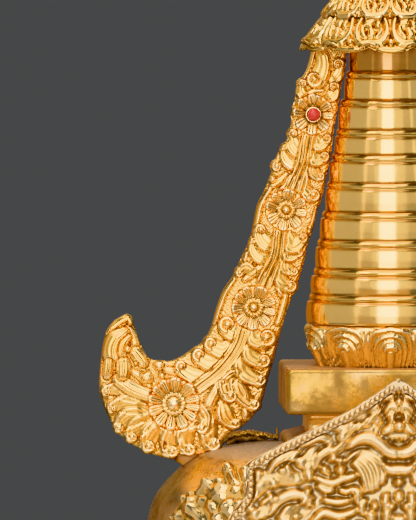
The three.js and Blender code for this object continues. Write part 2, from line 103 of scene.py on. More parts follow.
def set_off(thing, target, azimuth, elevation, distance):
    """Puts a camera or a light at a distance from its target and turns it to face that."""
    turn, rise = math.radians(azimuth), math.radians(elevation)
    back = Vector((math.sin(turn) * math.cos(rise), -math.cos(turn) * math.cos(rise), math.sin(rise)))
    thing.location = target + back * distance
    thing.rotation_euler = back.to_track_quat("Z", "Y").to_euler()
    bpy.context.scene.collection.objects.link(thing)


def add_camera():
    data = bpy.data.cameras.new("view")
    data.lens = LENS
    data.clip_end = 100
    camera = bpy.data.objects.new("view", data)
    set_off(camera, VIEW_TARGET, *VIEW)
    bpy.context.scene.camera = camera


def add_lights():
    for name, (azimuth, elevation, distance, width, height, radiance, colour) in SOFTBOXES.items():
        data = bpy.data.lights.new(name, "AREA")
        data.shape = "RECTANGLE"
        data.size, data.size_y = width, height
        data.energy = radiance * math.pi * width * height
        data.color = colour
        light = bpy.data.objects.new(name, data)
        light.visible_camera = False
        set_off(light, LIGHT_TARGET, azimuth, elevation, distance)


def add_world():
    world = bpy.data.worlds.new("studio")
    world.use_nodes = True
    world.node_tree.nodes["Background"].inputs["Color"].default_value = (*BACKDROP, 1)
    bpy.context.scene.world = world
    bpy.context.scene.view_settings.view_transform = "Khronos PBR Neutral"


def add_floor():
    turn = circle(FLOOR_SIDES)[0]
    ring = [FLOOR_RADIUS * np.cos(turn), FLOOR_RADIUS * np.sin(turn), FLOOR_LEVEL + 0 * turn]
    mesh = bpy.data.meshes.new("floor")
    mesh.from_pydata(np.stack(ring, axis=1).tolist(), [], [list(range(FLOOR_SIDES))])
    floor = bpy.data.objects.new("floor", mesh)
    bpy.context.scene.collection.objects.link(floor)
    paper = Surface("floor_paper")
    tone = paper.ramp(paper.noise(14, 3), [(0.3, (0.76, 0.75, 0.73)), (0.7, (0.82, 0.81, 0.79))])
    paper.shade({"Base Color": tone, "Roughness": 0.8})
    mesh.materials.append(paper.material)


# Materials


class Surface:
    """A material of nodes: each method adds one or more of them and gives an output to link on."""

    def __init__(self, name):
        self.material = bpy.data.materials.new(name)
        self.material.use_nodes = True
        tree = self.material.node_tree
        self.nodes, self.link = tree.nodes, tree.links.new

    def feed(self, node, inputs):
        """Links or values for a node's inputs."""
        for key, value in inputs.items():
            socket = node.inputs[key]
            if isinstance(value, bpy.types.NodeSocket):
                self.link(value, socket)
            else:
                socket.default_value = (*value, 1) if socket.type == "RGBA" else value

    def shade(self, inputs):
        self.feed(self.nodes["Principled BSDF"], inputs)

    def node(self, kind, inputs, **settings):
        node = self.nodes.new("ShaderNode" + kind)
        for name, value in settings.items():
            setattr(node, name, value)
        self.feed(node, inputs)
        return node.outputs

    def noise(self, scale, detail, roughness=0.55):
        """Noise over the object's own coordinates, which are metres; scale is in features per metre."""
        place = self.node("TexCoord", {})["Object"]
        inputs = {"Vector": place, "Scale": scale, "Detail": detail, "Roughness": roughness}
        return self.node("TexNoise", inputs)["Fac"]

    def ramp(self, value, stops):
        """A colour or grey ramp: stops are (position, colour or grey)."""
        ramp = self.nodes.new("ShaderNodeValToRGB")
        elements = ramp.color_ramp.elements
        for i, (position, colour) in enumerate(stops):
            element = elements[i] if i < 2 else elements.new(position)
            element.position = position
            element.color = (*np.broadcast_to(colour, 3), 1)
        self.link(value, ramp.inputs["Fac"])
        return ramp.outputs["Color"]

    def mix(self, amount, first, second):
        return self.node("Mix", {0: amount, 6: first, 7: second}, data_type="RGBA")[2]

    def combine(self, operation, first, second):
        return self.node("Math", {0: first, 1: second}, operation=operation, use_clamp=True)[0]

    def up_facing(self, start, end):
        """0 on surfaces whose normal's height is under start, 1 over end."""
        height = self.node("SeparateXYZ", {0: self.node("NewGeometry", {})["Normal"]})["Z"]
        return self.node("MapRange", {"Value": height, "From Min": start, "From Max": end})["Result"]


# Gold tones. The high and low ones serve both for random pale and deep patches and for the painted highlight
# on ridges and the painted shade in hollows; the deep one is painted shade in the rings' collars.
GOLD_HIGH_AND_HIGHLIGHT = (1.0, 0.81, 0.48)
GOLD = (1.0, 0.64, 0.20)
GOLD_LOW_AND_SHADE = (0.86, 0.53, 0.15)
GOLD_SHADE = (0.42, 0.16, 0.03)
COPPER = (0.62, 0.30, 0.14)
DUST = (0.58, 0.30, 0.135)
TARNISH = (0.30, 0.16, 0.05)
COVERED_ROUGHNESS = (0.6, 0.6, 0.6)
EDGE_TINT = (1.0, 0.72, 0.40)
EDGE_COPPER = (1.0, 0.56, 0.22)
CORAL_LOW = (0.58, 0.048, 0.03)
CORAL_HIGH = (0.74, 0.09, 0.05)
TOOL_MARK_DEPTH = 0.0004


def gilt(
    name, rough, tint=GOLD, hollow=None, grain=0.12, grain_size=900, worn=0.0, dust=0.0, film=0.0, soil=DUST,
    lathe=0.0, edge=EDGE_TINT,
):
    """Gilding: a painted highlight where it is raised and painted shade, deep orange, where it is hollow,
    with wear, dust and tarnish.

    rough is the range of roughness. hollow is the colour of the painted shade at the lowest places of a
    chased piece, whose
    "relief" attribute is 0.5 where it is level, more where raised, for a painted highlight, and less where
    hollow. grain is the strength of fine tool marks and grain_size their number per metre, worn the share of
    copper that shows, dust how much soil lies on surfaces that face up and film how much brown tarnish lies
    in patches. lathe is how much turning marks stretch the gloss upward."""
    surface = Surface(name)
    surface.shade({"Metallic": 1, "Specular Tint": edge})
    patches = surface.ramp(surface.noise(45, 4), [(0.3, GOLD_LOW_AND_SHADE), (0.5, tint), (0.75, GOLD_HIGH_AND_HIGHLIGHT)])
    colour = surface.mix(0.35, tint, patches)
    # painted shade in the hollows and painted highlight on the ridges, read from the relief attribute
    if hollow:
        level = surface.node("Attribute", {}, attribute_name="relief")["Fac"]
        stops = [(0.16, hollow), (0.36, GOLD_LOW_AND_SHADE), (0.52, tint), (0.84, GOLD_HIGH_AND_HIGHLIGHT)]
        colour = surface.mix(0.72, colour, surface.ramp(level, stops))
    if worn:
        shows = surface.ramp(surface.noise(120, 6, 0.7), [(0.62 - worn * 0.3, 0.0), (0.72, 0.8)])
        colour = surface.mix(shows, colour, COPPER)
    roughness = surface.ramp(surface.noise(160, 5), [(0.3, rough[0]), (0.7, rough[1])])
    if dust or film:
        specks = surface.ramp(surface.noise(700, 8, 0.75), [(0.40, 0.35), (0.62, 1.0)])
        facing = surface.up_facing(0.88, 0.985)
        lies = surface.combine("MULTIPLY", surface.combine("MULTIPLY", specks, facing), dust)
        colour = surface.mix(lies, colour, soil)
        patchy = surface.ramp(surface.noise(85, 8, 0.72), [(0.44, 0.12), (0.60, 1.0)])
        upright = surface.combine("SUBTRACT", 1.0, facing)
        coated = surface.combine("MULTIPLY", surface.combine("MULTIPLY", patchy, upright), film)
        colour = surface.mix(coated, colour, TARNISH)
        covered = surface.combine("MAXIMUM", lies, coated)
        roughness = surface.mix(covered, roughness, COVERED_ROUGHNESS)
        surface.shade({"Metallic": surface.combine("SUBTRACT", 1.0, covered), "Specular IOR Level": 0.1})
    marks = surface.noise(grain_size, 5, 0.65)
    bump = surface.node("Bump", {"Strength": grain, "Distance": TOOL_MARK_DEPTH, "Height": marks})["Normal"]
    surface.shade({"Base Color": colour, "Roughness": roughness, "Normal": bump})
    if lathe:
        tangent = surface.node("Tangent", {}, direction_type="RADIAL", axis="Z")["Tangent"]
        surface.shade({"Anisotropic": lathe, "Anisotropic Rotation": 0.25, "Tangent": tangent})
    return surface.material


def polished_coral():
    surface = Surface("polished_coral")
    tone = surface.ramp(surface.noise(600, 4), [(0.3, CORAL_LOW), (0.7, CORAL_HIGH)])
    surface.shade({"Base Color": tone, "Roughness": 0.34, "Subsurface Weight": 0.1})
    surface.shade({"Subsurface Radius": (0.002, 0.0005, 0.0004)})
    return surface.material


# Mesh building


def circle(count):
    """Angles once round, as one row."""
    return np.linspace(0, 2 * math.pi, count, endpoint=False)[None, :]


def run_along(line):
    """How far along a line each of its points lies."""
    return np.concatenate([[0], np.cumsum(np.hypot(*np.diff(line, axis=0).T))])


def picked(line, run, wanted):
    """Where a line is at the wanted places of the run along it."""
    return np.stack([np.interp(wanted, run, line[:, i]) for i in (0, 1)], axis=-1)


def spanned(first, last, share):
    """The two coordinates of a grid that goes from one line to another, a share of the way at each column."""
    return [first[:, i, None] * (1 - share) + last[:, i, None] * share for i in (0, 1)]


def grid_faces(rows, columns, closed=False):
    """Quads over a grid; closed joins the last column to the first."""
    index = np.arange(rows * columns).reshape(rows, columns)
    if closed:
        index = np.hstack([index, index[:, :1]])
    corners = [index[:-1, :-1], index[:-1, 1:], index[1:, 1:], index[1:, :-1]]
    return np.stack(corners, axis=-1).reshape(-1, 4)


def tube_faces(rows, columns):
    """Quads over a grid that closes on itself, and a flat face at each end."""
    last = (rows - 1) * columns + np.arange(columns)
    return [grid_faces(rows, columns, closed=True), np.arange(columns)[None, ::-1], last[None, :]]


def volume(points, faces):
    """The volume that closed faces enclose: below zero when they face inward."""
    total = 0.0
    for group in faces:
        first = points[group[:, 0]]
        for i in range(1, group.shape[1] - 1):
            total += np.einsum("ij,ij->", first, np.cross(points[group[:, i]], points[group[:, i + 1]]))
    return total / 6


def make_piece(name, points, faces, material, replaces=(), relief=None):
    """A mesh of points in mm. faces is a list of arrays of vertex numbers, one row a face."""
    points = np.asarray(points, dtype=np.float64).reshape(-1, 3) * MM
    if volume(points, faces) < 0:
        faces = [group[:, ::-1] for group in faces]
    loops = np.concatenate([group.ravel() for group in faces])
    sizes = np.concatenate([np.full(len(group), group.shape[1]) for group in faces])
    starts = np.concatenate([[0], np.cumsum(sizes)[:-1]])
    mesh = bpy.data.meshes.new(name)
    mesh.vertices.add(len(points))
    mesh.vertices.foreach_set("co", points.ravel())
    mesh.loops.add(len(loops))
    mesh.loops.foreach_set("vertex_index", loops.astype(np.int32))
    mesh.polygons.add(len(sizes))
    mesh.polygons.foreach_set("loop_start", starts.astype(np.int32))
    mesh.polygons.foreach_set("use_smooth", np.ones(len(sizes), dtype=bool))
    mesh.update(calc_edges=True)
    mesh.validate()
    # relief, where given, is the tone of painted highlight and painted shade that chased gilding reads
    if relief is not None:
        layer = mesh.attributes.new("relief", "FLOAT", "POINT")
        layer.data.foreach_set("value", np.asarray(relief, dtype=np.float32).ravel())
    mesh.materials.append(material)
    piece = bpy.data.objects.new(name, mesh)
    bpy.context.scene.collection.objects.link(piece)
    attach(piece, "root")
    if replaces:
        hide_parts(*replaces)


def softened(values, passes, closed=False):
    """Values blurred over a grid, to tell what stands out from its surroundings."""
    for _ in range(passes):
        for axis in (0, 1):
            pad = [(1, 1) if side == axis else (0, 0) for side in (0, 1)]
            wide = np.pad(values, pad, mode="wrap" if closed and axis == 1 else "edge")
            ahead = wide[2:] if axis == 0 else wide[:, 2:]
            behind = wide[:-2] if axis == 0 else wide[:, :-2]
            values = (ahead + behind + 2 * values) / 4
    return values


def relief_light_and_shade(height, scale, passes, closed=False):
    """The painted light and shade of a chased surface: 0.5 where it is level, more on ridges for a painted
    highlight and less in hollows for painted shade; scale is the full height in mm.
    """
    return np.clip(0.5 + (height - softened(height, passes, closed)) / scale, 0, 1)


def ease(value, start, end):
    """0 up to start and 1 from end, or the other way round, smoothly."""
    share = np.clip((value - start) / (end - start), 0, 1)
    return share * share * (3 - 2 * share)


def dome(value):
    """The height of a round form: 1 where the value is 0, and 0 from 1 on."""
    return np.sqrt(np.clip(1 - value**2, 0, 1))


def ridge(value, middle, width):
    """A soft ridge of height 1 over a middle value."""
    return np.exp(-(((value - middle) / width) ** 2))


def fine_profile(rows, step):
    """The outline with points added every step along it, but not across its hidden first and last faces."""
    rows = np.array(rows, dtype=float)
    parts = [rows[:1]]
    for start, end in zip(rows[1:-2], rows[2:-1]):
        count = max(1, int(np.hypot(*(end - start)) / step))
        parts.append(start + (end - start) * np.linspace(0, 1, count, endpoint=False)[:, None])
    return np.vstack(parts + [rows[-2:]])


def round_piece(
    name, rows, foot, material, replaces, segments, step, shape=None, wobble=0.0, phase=0.0
):
    """A round form. rows are (radius, height over foot) in mm round its section. shape takes the angle,
    radius and height of each point and gives how far it stands out and how far it is lifted, and its tone;
    wobble is how uneven it is."""
    outline = fine_profile([(radius, height + foot) for radius, height in rows], step)
    angle = circle(segments)
    radius = outline[:, :1] + 0 * angle
    height = outline[:, 1:] + 0 * angle
    angle = angle + 0 * radius
    along = np.gradient(outline, axis=0)
    along /= np.linalg.norm(along, axis=1)[:, None] + 1e-9
    if along[len(outline) // 2, 1] < 0:
        along = -along
    relief = None
    if shape is not None:
        push, lift, relief = shape(angle, radius, height)
        radius = radius + push * along[:, 1:]
        height = height + push * -along[:, :1] + lift
    if wobble:
        uneven = np.sin(2 * angle + phase) * 0.5 + np.sin(3 * angle + 2.1 * phase) * 0.35
        uneven = uneven + 0.25 * np.sin(7 * angle + 3.3 * phase) + 0.15 * np.sin(13 * angle - phase)
        height = height + 0.6 * wobble * np.sin(angle + phase) + 0.3 * wobble * np.sin(4 * angle + phase)
        radius = radius + wobble * uneven * np.minimum(1, radius / 10)
    points = np.stack([radius * np.cos(angle), radius * np.sin(angle), height], axis=-1)
    make_piece(name, points, tube_faces(len(outline), segments), material, replaces, relief)


def quarter_turned(x, y, z, quarters):
    """Points turned about the upright axis by a number of quarters."""
    angle = quarters * math.pi / 2
    cos, sin = math.cos(angle), math.sin(angle)
    return np.stack([x * cos - y * sin, x * sin + y * cos, z], axis=-1)


def square_piece(name, rows, foot, material, replaces, columns, step, shape, corner):
    """A square form. rows are (half width, height over foot) in mm round its section and columns the
    number of points on each side. shape takes the place along a side, the half width and the height of
    each point and gives how far it stands out and its tone; corner is the radius of the upright edges."""
    outline = fine_profile([(half, height + foot) for half, height in rows], step)
    along = np.linspace(-1, 1, columns, endpoint=False)[None, :]
    along = np.sign(along) * np.abs(along) ** 0.8
    half = outline[:, :1] + 0 * along
    height = outline[:, 1:] + 0 * along
    push, relief = shape(along * half, half, height)
    half = half + push
    across = along * half
    rounding = np.clip((np.abs(across) - half + corner) / corner, 0, 1)
    reach = half - corner * (1 - dome(rounding))
    points = np.concatenate([quarter_turned(across, -reach, height, i) for i in range(4)], axis=1)
    relief = np.concatenate([relief] * 4, axis=1)
    make_piece(name, points, tube_faces(len(outline), 4 * columns), material, replaces, relief)


WALL = 3  # columns of points up each side of a sheet
SHEET_THINNEST = 0.05
# painted shade: a sheet's walls and back are coloured a little darker than its level ground
SHEET_EDGE_TONE = 0.42
SHEET_BACK_TONE = 0.4


def sheet_piece(name, x, z, height, place, material, replaces, tone, curved=False):
    """A closed sheet over a grid of places x and z. place turns x, z and height into points; the back
    lies at height 0, and a curved sheet has a back as fine as its front."""
    rows, width = x.shape
    share = np.linspace(0, 1, WALL, endpoint=False)
    height = np.maximum(height, SHEET_THINNEST)
    rise = [height[:, :1] * part for part in share]
    fall = [height[:, -1:] * part for part in share[::-1]]
    height = np.hstack(rise + [height] + fall)
    x, z = (np.hstack([grid[:, :1]] * WALL + [grid] + [grid[:, -1:]] * WALL) for grid in (x, z))
    edge = np.full((rows, WALL), SHEET_EDGE_TONE)
    tone = np.hstack([edge, tone, edge])
    columns = width + 2 * WALL
    front = place(x, z, height)
    index = np.arange(rows * columns).reshape(rows, columns)
    faces = [grid_faces(rows, columns)]
    if not curved:
        faces.append(np.stack([index[:-1, 0], index[1:, 0], index[1:, -1], index[:-1, -1]], axis=-1))
        faces += [index[0, ::-1][None, :], index[-1, :][None, :]]
        return make_piece(name, front, faces, material, replaces, tone)
    inner = slice(WALL, columns - WALL)
    back = place(x[:, inner], z[:, inner], 0 * x[:, inner])
    start = rows * columns
    under = start + np.arange(rows * width).reshape(rows, width)
    faces.append(start + grid_faces(rows, width)[:, ::-1])
    faces.append(np.stack([index[:-1, 0], index[1:, 0], under[1:, 0], under[:-1, 0]], axis=-1))
    faces.append(np.stack([index[:-1, -1], under[:-1, -1], under[1:, -1], index[1:, -1]], axis=-1))
    faces.append(np.concatenate([index[0, ::-1], under[0]])[None, :])
    faces.append(np.concatenate([index[-1], under[-1, ::-1]])[None, :])
    points = np.concatenate([front.reshape(-1, 3), back.reshape(-1, 3)])
    tone = np.concatenate([tone.ravel(), np.full(rows * width, SHEET_BACK_TONE)])
    make_piece(name, points, faces, material, replaces, tone)


# Relief: forms chased into a sheet


def smooth_path(points, steps):
    """A curve through the points, with a number of steps from each to the next."""
    points = np.array(points, dtype=float)
    ends = np.vstack([2 * points[0] - points[1], points, 2 * points[-1] - points[-2]])
    share = np.linspace(0, 1, steps, endpoint=False)[:, None]
    samples = []
    for before, start, end, after in zip(ends, ends[1:], ends[2:], ends[3:]):
        bend, twist = 2 * before - 5 * start + 4 * end - after, 3 * start - before - 3 * end + after
        samples.append(0.5 * (2 * start + (end - before) * share + bend * share**2 + twist * share**3))
    return np.vstack(samples + [points[-1:]])


WAVE = 6.283  # one full wave in radians, to three places
ROLL_PITCH = 0.52  # the part of a roll's radius that each winding takes up
ROSETTE_BASE = 0.2
ROSETTE_HEART = 0.34


def widths_along(share, widths):
    """The half width at each share of a path's length, from widths that are evenly spaced along it."""
    return np.interp(share, np.linspace(0, 1, len(widths)), widths)


class Relief:
    """Heights in mm over a grid of places x, z in mm, with a shade that is added to their tone."""

    def __init__(self, x, z):
        self.x, self.z = x, z
        self.height = np.zeros_like(x)
        self.shade = np.zeros_like(x)

    def near(self, low, high, margin):
        """The points within a margin of the box from low to high."""
        inside = (self.x > low[0] - margin) & (self.x < high[0] + margin)
        inside &= (self.z > low[1] - margin) & (self.z < high[1] + margin)
        return np.nonzero(inside)

    def polar(self, centre, margin):
        """The points round a centre, with their distances and directions from it."""
        near = self.near(centre, centre, margin)
        dx, dz = self.x[near] - centre[0], self.z[near] - centre[1]
        return near, np.hypot(dx, dz), np.arctan2(dz, dx)

    def lay(self, points, mask, height):
        self.height[points] = self.height[points] * (1 - mask) + height * mask

    def cut(self, points, outside, depth, far, close, inside):
        """A chased line round a form: outside is how far each point lies beyond the form's edge. The line
        reaches from far to close with a soft slope, and ends at a distance inside the edge."""
        self.height[points] -= depth * ease(outside, far, close) * ease(outside, -inside, 0)

    def ball(self, centre, radius, rise, base=0.0, groove=0.25):
        """A round bead with a chased line round it."""
        near, reach, _ = self.polar(centre, radius * 1.5)
        out = reach / radius
        self.height[near] -= groove * ease(out, 1.45, 1.15)
        self.lay(near, ease(out, 1.04, 0.94), base + rise * dome(out))

    def follow(self, points, margin):
        """The grid points near a path: how far along it each lies, as a length and as a share, how far
        each is off the path's middle, and its distance from the path."""
        path = smooth_path(points, 20)
        near = self.near(path.min(axis=0), path.max(axis=0), margin)
        x, z = self.x[near], self.z[near]
        distance = (x[:, None] - path[None, :, 0]) ** 2 + (z[:, None] - path[None, :, 1]) ** 2
        closest = distance.argmin(axis=1)
        tangent = np.gradient(path, axis=0)
        tangent /= np.linalg.norm(tangent, axis=1)[:, None] + 1e-9
        tangent_x, tangent_z = tangent[closest].T
        run = run_along(path)
        offset_x, offset_z = x - path[closest, 0], z - path[closest, 1]
        ahead = offset_x * tangent_x + offset_z * tangent_z
        across = -offset_x * tangent_z + offset_z * tangent_x
        place = np.clip(run[closest] + ahead, 0, run[-1])
        beyond = np.where(closest == 0, np.maximum(0, -ahead), 0)
        beyond = np.where(closest == len(path) - 1, np.maximum(0, ahead), beyond)
        return near, place, place / run[-1], across, np.hypot(across, beyond)

    def leaf(
        self, points, widths, rise, flutes=0, flute=0.16, base=0.0, groove=0.3, line=0.35, flat=0.7, rim=0.0
    ):
        """A form along a path: widths are half widths, flutes the ridges along it, flat how squarely its
        sides rise and rim how far its edges stand up."""
        near, _, share, across, reach = self.follow(points, max(widths) + 2 * line)
        half = widths_along(share, widths)
        round_form = dome(reach / half)
        height = base + rise * round_form**flat
        if rim:
            height = height + rim * ridge(reach / half, 0.82, 0.13)
        if flutes:
            aside = np.clip(across / half, -1.5, 1.5)
            height = height + flute * np.cos(math.pi * flutes * aside) * round_form**0.5
        outside = reach - half
        self.cut(near, outside, groove, line * 1.6, line * 0.5, line)
        self.lay(near, ease(outside, 0.12, -0.12), height)

    def strap(self, points, half, rough):
        """A band with raised lines along it or, where it is rough, with uneven creases along it, and painted
        shade down its middle.
        """
        near, place, share, across, reach = self.follow(points, 1.4 * half + 1)
        half = half * (1 + 0.3 * rough * ease(share, 0.6, 1))
        aside = across / half
        sway = 0.14 * np.sin(place * 0.3 + 1)
        edges = 0.32 * ridge(np.abs(aside), 0.86, 0.15) + 0.28 * ridge(np.abs(aside), 0.46, 0.13)
        creases = 0.3 * np.cos(7.5 * (aside + sway))
        ripple = 1.2 * np.sin(place * 0.5)
        creases = creases + 0.1 * np.cos(16 * (aside + 0.6 * sway) + ripple) - 0.4 * aside - 0.4
        outside = reach - half
        self.cut(near, outside, 0.45, 0.8, 0.2, 0.3)
        self.lay(near, ease(outside, 0.15, -0.15), 0.55 + edges * (1 - rough) + creases * rough)
        # painted shade down the middle of the band
        self.shade[near] -= 0.27 * ease(np.abs(aside), 0.60, 0.42)

    def roll(self, centre, radius, hand, turn_in, rise):
        """A leaf's end wound up round a bead: turn_in is the angle at which the outer winding starts."""
        near, reach, angle = self.polar(centre, radius * 1.1)
        out = reach / radius
        turn = np.mod(hand * (angle - turn_in), 2 * math.pi) / (2 * math.pi)
        winding = (1 - out) / ROLL_PITCH - turn
        back = np.clip(1 - np.abs(2 * (winding - np.floor(winding)) - 1) ** 4, 0, 1) ** 0.6
        height = rise * (0.25 + 0.75 * dome(0.9 * out)) * (0.72 + 0.28 * back)
        self.lay(near, ease(winding, -0.1, 0.1), height)
        self.ball(centre, radius * 0.46, rise * 1.25, groove=0.2)

    def curl(self, start, centre, radius, hand, width, bend=0.3, rise=2.0, flutes=3):
        """A full leaf from start whose end rolls up round a bead; hand is 1 when it rolls anticlockwise."""
        start, centre = np.array(start, dtype=float), np.array(centre, dtype=float)
        span = np.linalg.norm(centre - start)
        heading = (centre - start) / (span + 1e-9)
        side = np.array([heading[1], -heading[0]]) * hand
        middle = (start + centre) / 2 + side * bend * span * 0.6
        under = centre + side * 0.42 * radius
        body = [0.8 * width, 1.25 * width, 1.4 * width, max(1.2 * width, radius), radius]
        self.dished([start, middle, under], body, rise, -hand, flutes)
        self.roll(centre, 1.12 * radius, hand, math.atan2(side[1], side[0]), rise * 1.1)

    def dished(self, points, widths, rise, raised, flutes):
        """A broad leaf whose one edge stands up as a crest and whose face hollows towards the other;
        raised is 1 when the crest is on the left of the path, flutes the fine lines along the crest."""
        near, _, share, across, reach = self.follow(points, max(widths) + 0.7)
        half = widths_along(share, widths)
        aside = np.clip(raised * across / half, -1.3, 1.3)
        dish = 0.34 + 0.58 * ((1.3 + aside) / 2.3) ** 1.4
        crest = 0.12 * ridge(aside, 0.7, 0.24)
        rounded = np.clip(1 - np.abs(reach / half) ** 3.4, 0, 1) ** 0.6
        lines = 0.05 * np.cos(math.pi * flutes * aside) * ease(aside, -0.9, -0.1)
        height = rise * (dish + crest + lines) * rounded * (0.55 + 0.45 * ease(share, 0.0, 0.3))
        outside = reach - half
        self.cut(near, outside, 0.4, 0.55, 0.15, 0.3)
        self.lay(near, ease(outside, 0.12, -0.12), np.maximum(self.height[near] - 0.25, height))

    def rosette(self, centre, radius, petals, ribs=4, turn=0.0, gap=0.1, blunt=0.74, rise=2.0):
        """Ribbed petals round a boss, dished towards it, each standing clear of the next; gap is how much
        of a petal's width is lost between it and its neighbour, and blunt how far its corners reach."""
        near, reach, angle = self.polar(centre, radius * 1.25)
        out = reach / radius
        angle = angle - turn
        angle = angle + 0.09 * np.sin(2 * angle + 1) + 0.06 * np.sin(3 * angle)
        aside = np.mod(angle * petals / (2 * math.pi), 1) - 0.5
        edge = blunt + (1 - blunt) * dome(2.0 * aside)
        self.height[near] -= 0.5 * ease(out / edge, 1.22, 1.06) * ease(out / edge, 0.96, 1.02)
        outward = np.clip((out - ROSETTE_HEART) / (edge - ROSETTE_HEART), 0, 1)
        half = 0.5 - gap * (0.5 + np.abs(2 * outward - 0.9) ** 2)
        parted = ease(np.abs(aside) - half, 0.05, -0.06)
        height = ROSETTE_BASE + rise * (0.1 + 0.9 * outward**1.3) * (1 - 0.9 * (2 * aside) ** 4)
        height = height - 0.4 * ease(outward, 0.84, 1.0)
        pitch = 0.8 * 2 * math.pi * radius / (petals * ribs)
        height = height + 0.1 * pitch * np.cos(2 * math.pi * ribs * aside) * ease(outward, 0.0, 0.3)
        height = height * parted + (0.25 * height - 0.6) * (1 - parted)
        self.lay(near, ease(out / edge, 1.03, 0.97), height)

    def boss(self, centre, radius, kind):
        """What a rosette has in its middle: a collet for a stone, a cup with a bead, or a beaded dome."""
        near, reach, angle = self.polar(centre, radius)
        out = reach / radius
        if kind == "collet":
            height = ROSETTE_BASE + 2.0 + 0.7 * ease(np.abs(out - 0.345), 0.05, 0.01)
            self.lay(near, ease(out, 0.41, 0.37), height)
        elif kind == "cup":
            notch = 0.66 + 0.34 * np.cos(8 * angle)
            ring = 1.7 * notch * dome((out - 0.32) / 0.13)
            self.lay(near, ease(out, 0.46, 0.42), ROSETTE_BASE - 0.15 + ring)
            self.ball(centre, 0.18 * radius, 1.7, ROSETTE_BASE, groove=0.0)
        else:
            beads = 0.5 + 0.5 * np.cos(15 * angle)
            ring = 0.95 * (0.35 + 0.65 * beads) * dome((out - 0.36) / 0.085)
            self.lay(near, ease(out, 0.47, 0.43), ROSETTE_BASE + 0.05 + ring)
            self.ball(centre, 0.25 * radius, 1.7, ROSETTE_BASE, groove=0.0)

    def pit(self, x, z, half_x, half_z, depth):
        """A hollow of openwork."""
        near = self.near((x, z), (x, z), 1.4 * max(half_x, half_z))
        out = np.hypot((self.x[near] - x) / half_x, (self.z[near] - z) / half_z)
        self.height[near] -= depth * ease(out, 1.15, 0.55)

    def beads(self, start, end, pitch, radius, rise, base=0.0):
        """A row of beads along a straight line."""
        start, end = np.array(start, dtype=float), np.array(end, dtype=float)
        count = max(2, int(round(np.hypot(*(end - start)) / pitch)))
        for share in (np.arange(count) + 0.5) / count:
            self.ball(start + (end - start) * share, radius, rise, base)

    def fill(self, low, high, spacing, centre, seed, sizes, rise, lumps):
        """Rolled leaves and beads over the ground that is still level, turned away from a centre; or
        where lumps is true, rounded buds in place of the rolled leaves."""
        rng = np.random.default_rng(seed)
        for z in np.arange(low[1], high[1], spacing * 0.86):
            for x in np.arange(low[0], high[0], spacing):
                x_here, z_here = x + rng.uniform(-0.3, 0.3) * spacing, z + rng.uniform(-0.3, 0.3) * spacing
                here = (x_here, z_here)
                radius = rng.uniform(*sizes)
                hand, swing, kind = rng.choice([-1, 1]), rng.uniform(-0.7, 0.7), rng.uniform()
                around = self.near(here, here, radius)
                if len(around[0]) < 12 or np.mean(np.abs(self.height[around]) > 0.35) > 0.4:
                    continue
                away = math.atan2(z_here - centre[1], x_here - centre[0]) + swing
                tail = (1.3 if lumps else 2.6) * radius
                start = (x_here - tail * math.cos(away), z_here - tail * math.sin(away))
                if kind < 0.25:
                    self.ball(here, 0.62 * radius, 0.85 * rise)
                elif lumps:
                    self.leaf([start, here], [0.6 * radius, 0.9 * radius], 0.8 * rise, groove=0.5)
                    self.roll(here, radius, hand, away, rise)
                else:
                    self.curl(start, here, radius, hand, radius, rise=rise, flutes=2)

    def swell(self, amount, pitch):
        """Soft unevenness of hand work."""
        turn_x, turn_z = self.x * WAVE / pitch, self.z * WAVE / pitch
        wave = amount * np.sin(turn_x + 1.3 * np.sin(0.6 * turn_z))
        self.height += wave * np.sin(0.9 * turn_z + 1.1 * np.sin(0.7 * turn_x + 2))

    def stipple(self, amount, pitch):
        """Small round marks of a matting punch over the ground."""
        grain = np.sin(self.x * WAVE / pitch + 1.7 * np.sin(self.z * 2.1 / pitch))
        grain = grain * np.sin(self.z * WAVE / pitch + 1.9 * np.sin(self.x * 2.3 / pitch))
        self.height += amount * grain


# Side ribbons

# Edge stations in mm: outer x and height, then inner x and height, from the umbrella to the tip.
RIBBON_STATIONS = [
    (-29.6, 159.8, -15.8, 159.8), (-32.4, 149.4, -17.0, 149.4), (-36.0, 143.8, -18.6, 142.2),
    (-37.2, 136.2, -19.4, 135.8), (-38.4, 129.0, -20.8, 129.0), (-40.2, 121.4, -22.0, 120.6),
    (-43.6, 116.6, -22.8, 114.2), (-46.4, 108.6, -24.2, 107.8), (-49.2, 101.4, -26.2, 98.2),
    (-52.0, 95.8, -28.4, 92.6), (-53.4, 89.4, -29.6, 86.6), (-55.2, 81.4, -31.8, 80.2),
    (-58.4, 74.6, -33.2, 73.4), (-61.6, 67.4, -35.2, 66.2), (-65.6, 61.4, -37.6, 59.8),
    (-68.4, 54.2, -40.0, 53.8), (-70.4, 47.0, -42.2, 46.6), (-73.6, 41.0, -44.0, 39.4),
    (-78.0, 37.8, -46.0, 31.8), (-82.8, 34.6, -48.0, 25.4), (-86.8, 33.0, -50.8, 15.4),
    (-90.4, 33.2, -56.4, 8.2), (-93.6, 33.4, -63.6, 3.4), (-95.4, 34.2, -70.0, -3.0),
    (-96.8, 35.8, -78.8, -5.4), (-98.0, 38.2, -88.8, -5.8), (-99.2, 40.6, -98.8, -2.2),
    (-100.2, 43.8, -106.8, 3.4), (-101.2, 46.2, -112.4, 12.2), (-101.8, 48.2, -115.2, 21.4),
    (-102.0, 49.8, -115.0, 30.6), (-102.4, 51.0, -113.8, 39.4), (-103.4, 51.6, -112.4, 45.0),
    (-104.6, 51.8, -109.2, 49.2),
]
RIBBON_HALF = 4.0
RIBBON_BOW = 1.2  # how far the middle of the sheet stands out from its edges
RIBBON_FACE = -1.6  # how far the sheet's level ground lies behind its full half thickness
RIBBON_SEAT = 3.5
RIBBON_TIP_RUN = 60.0  # what the whole run counts for where the tip is taken as an edge
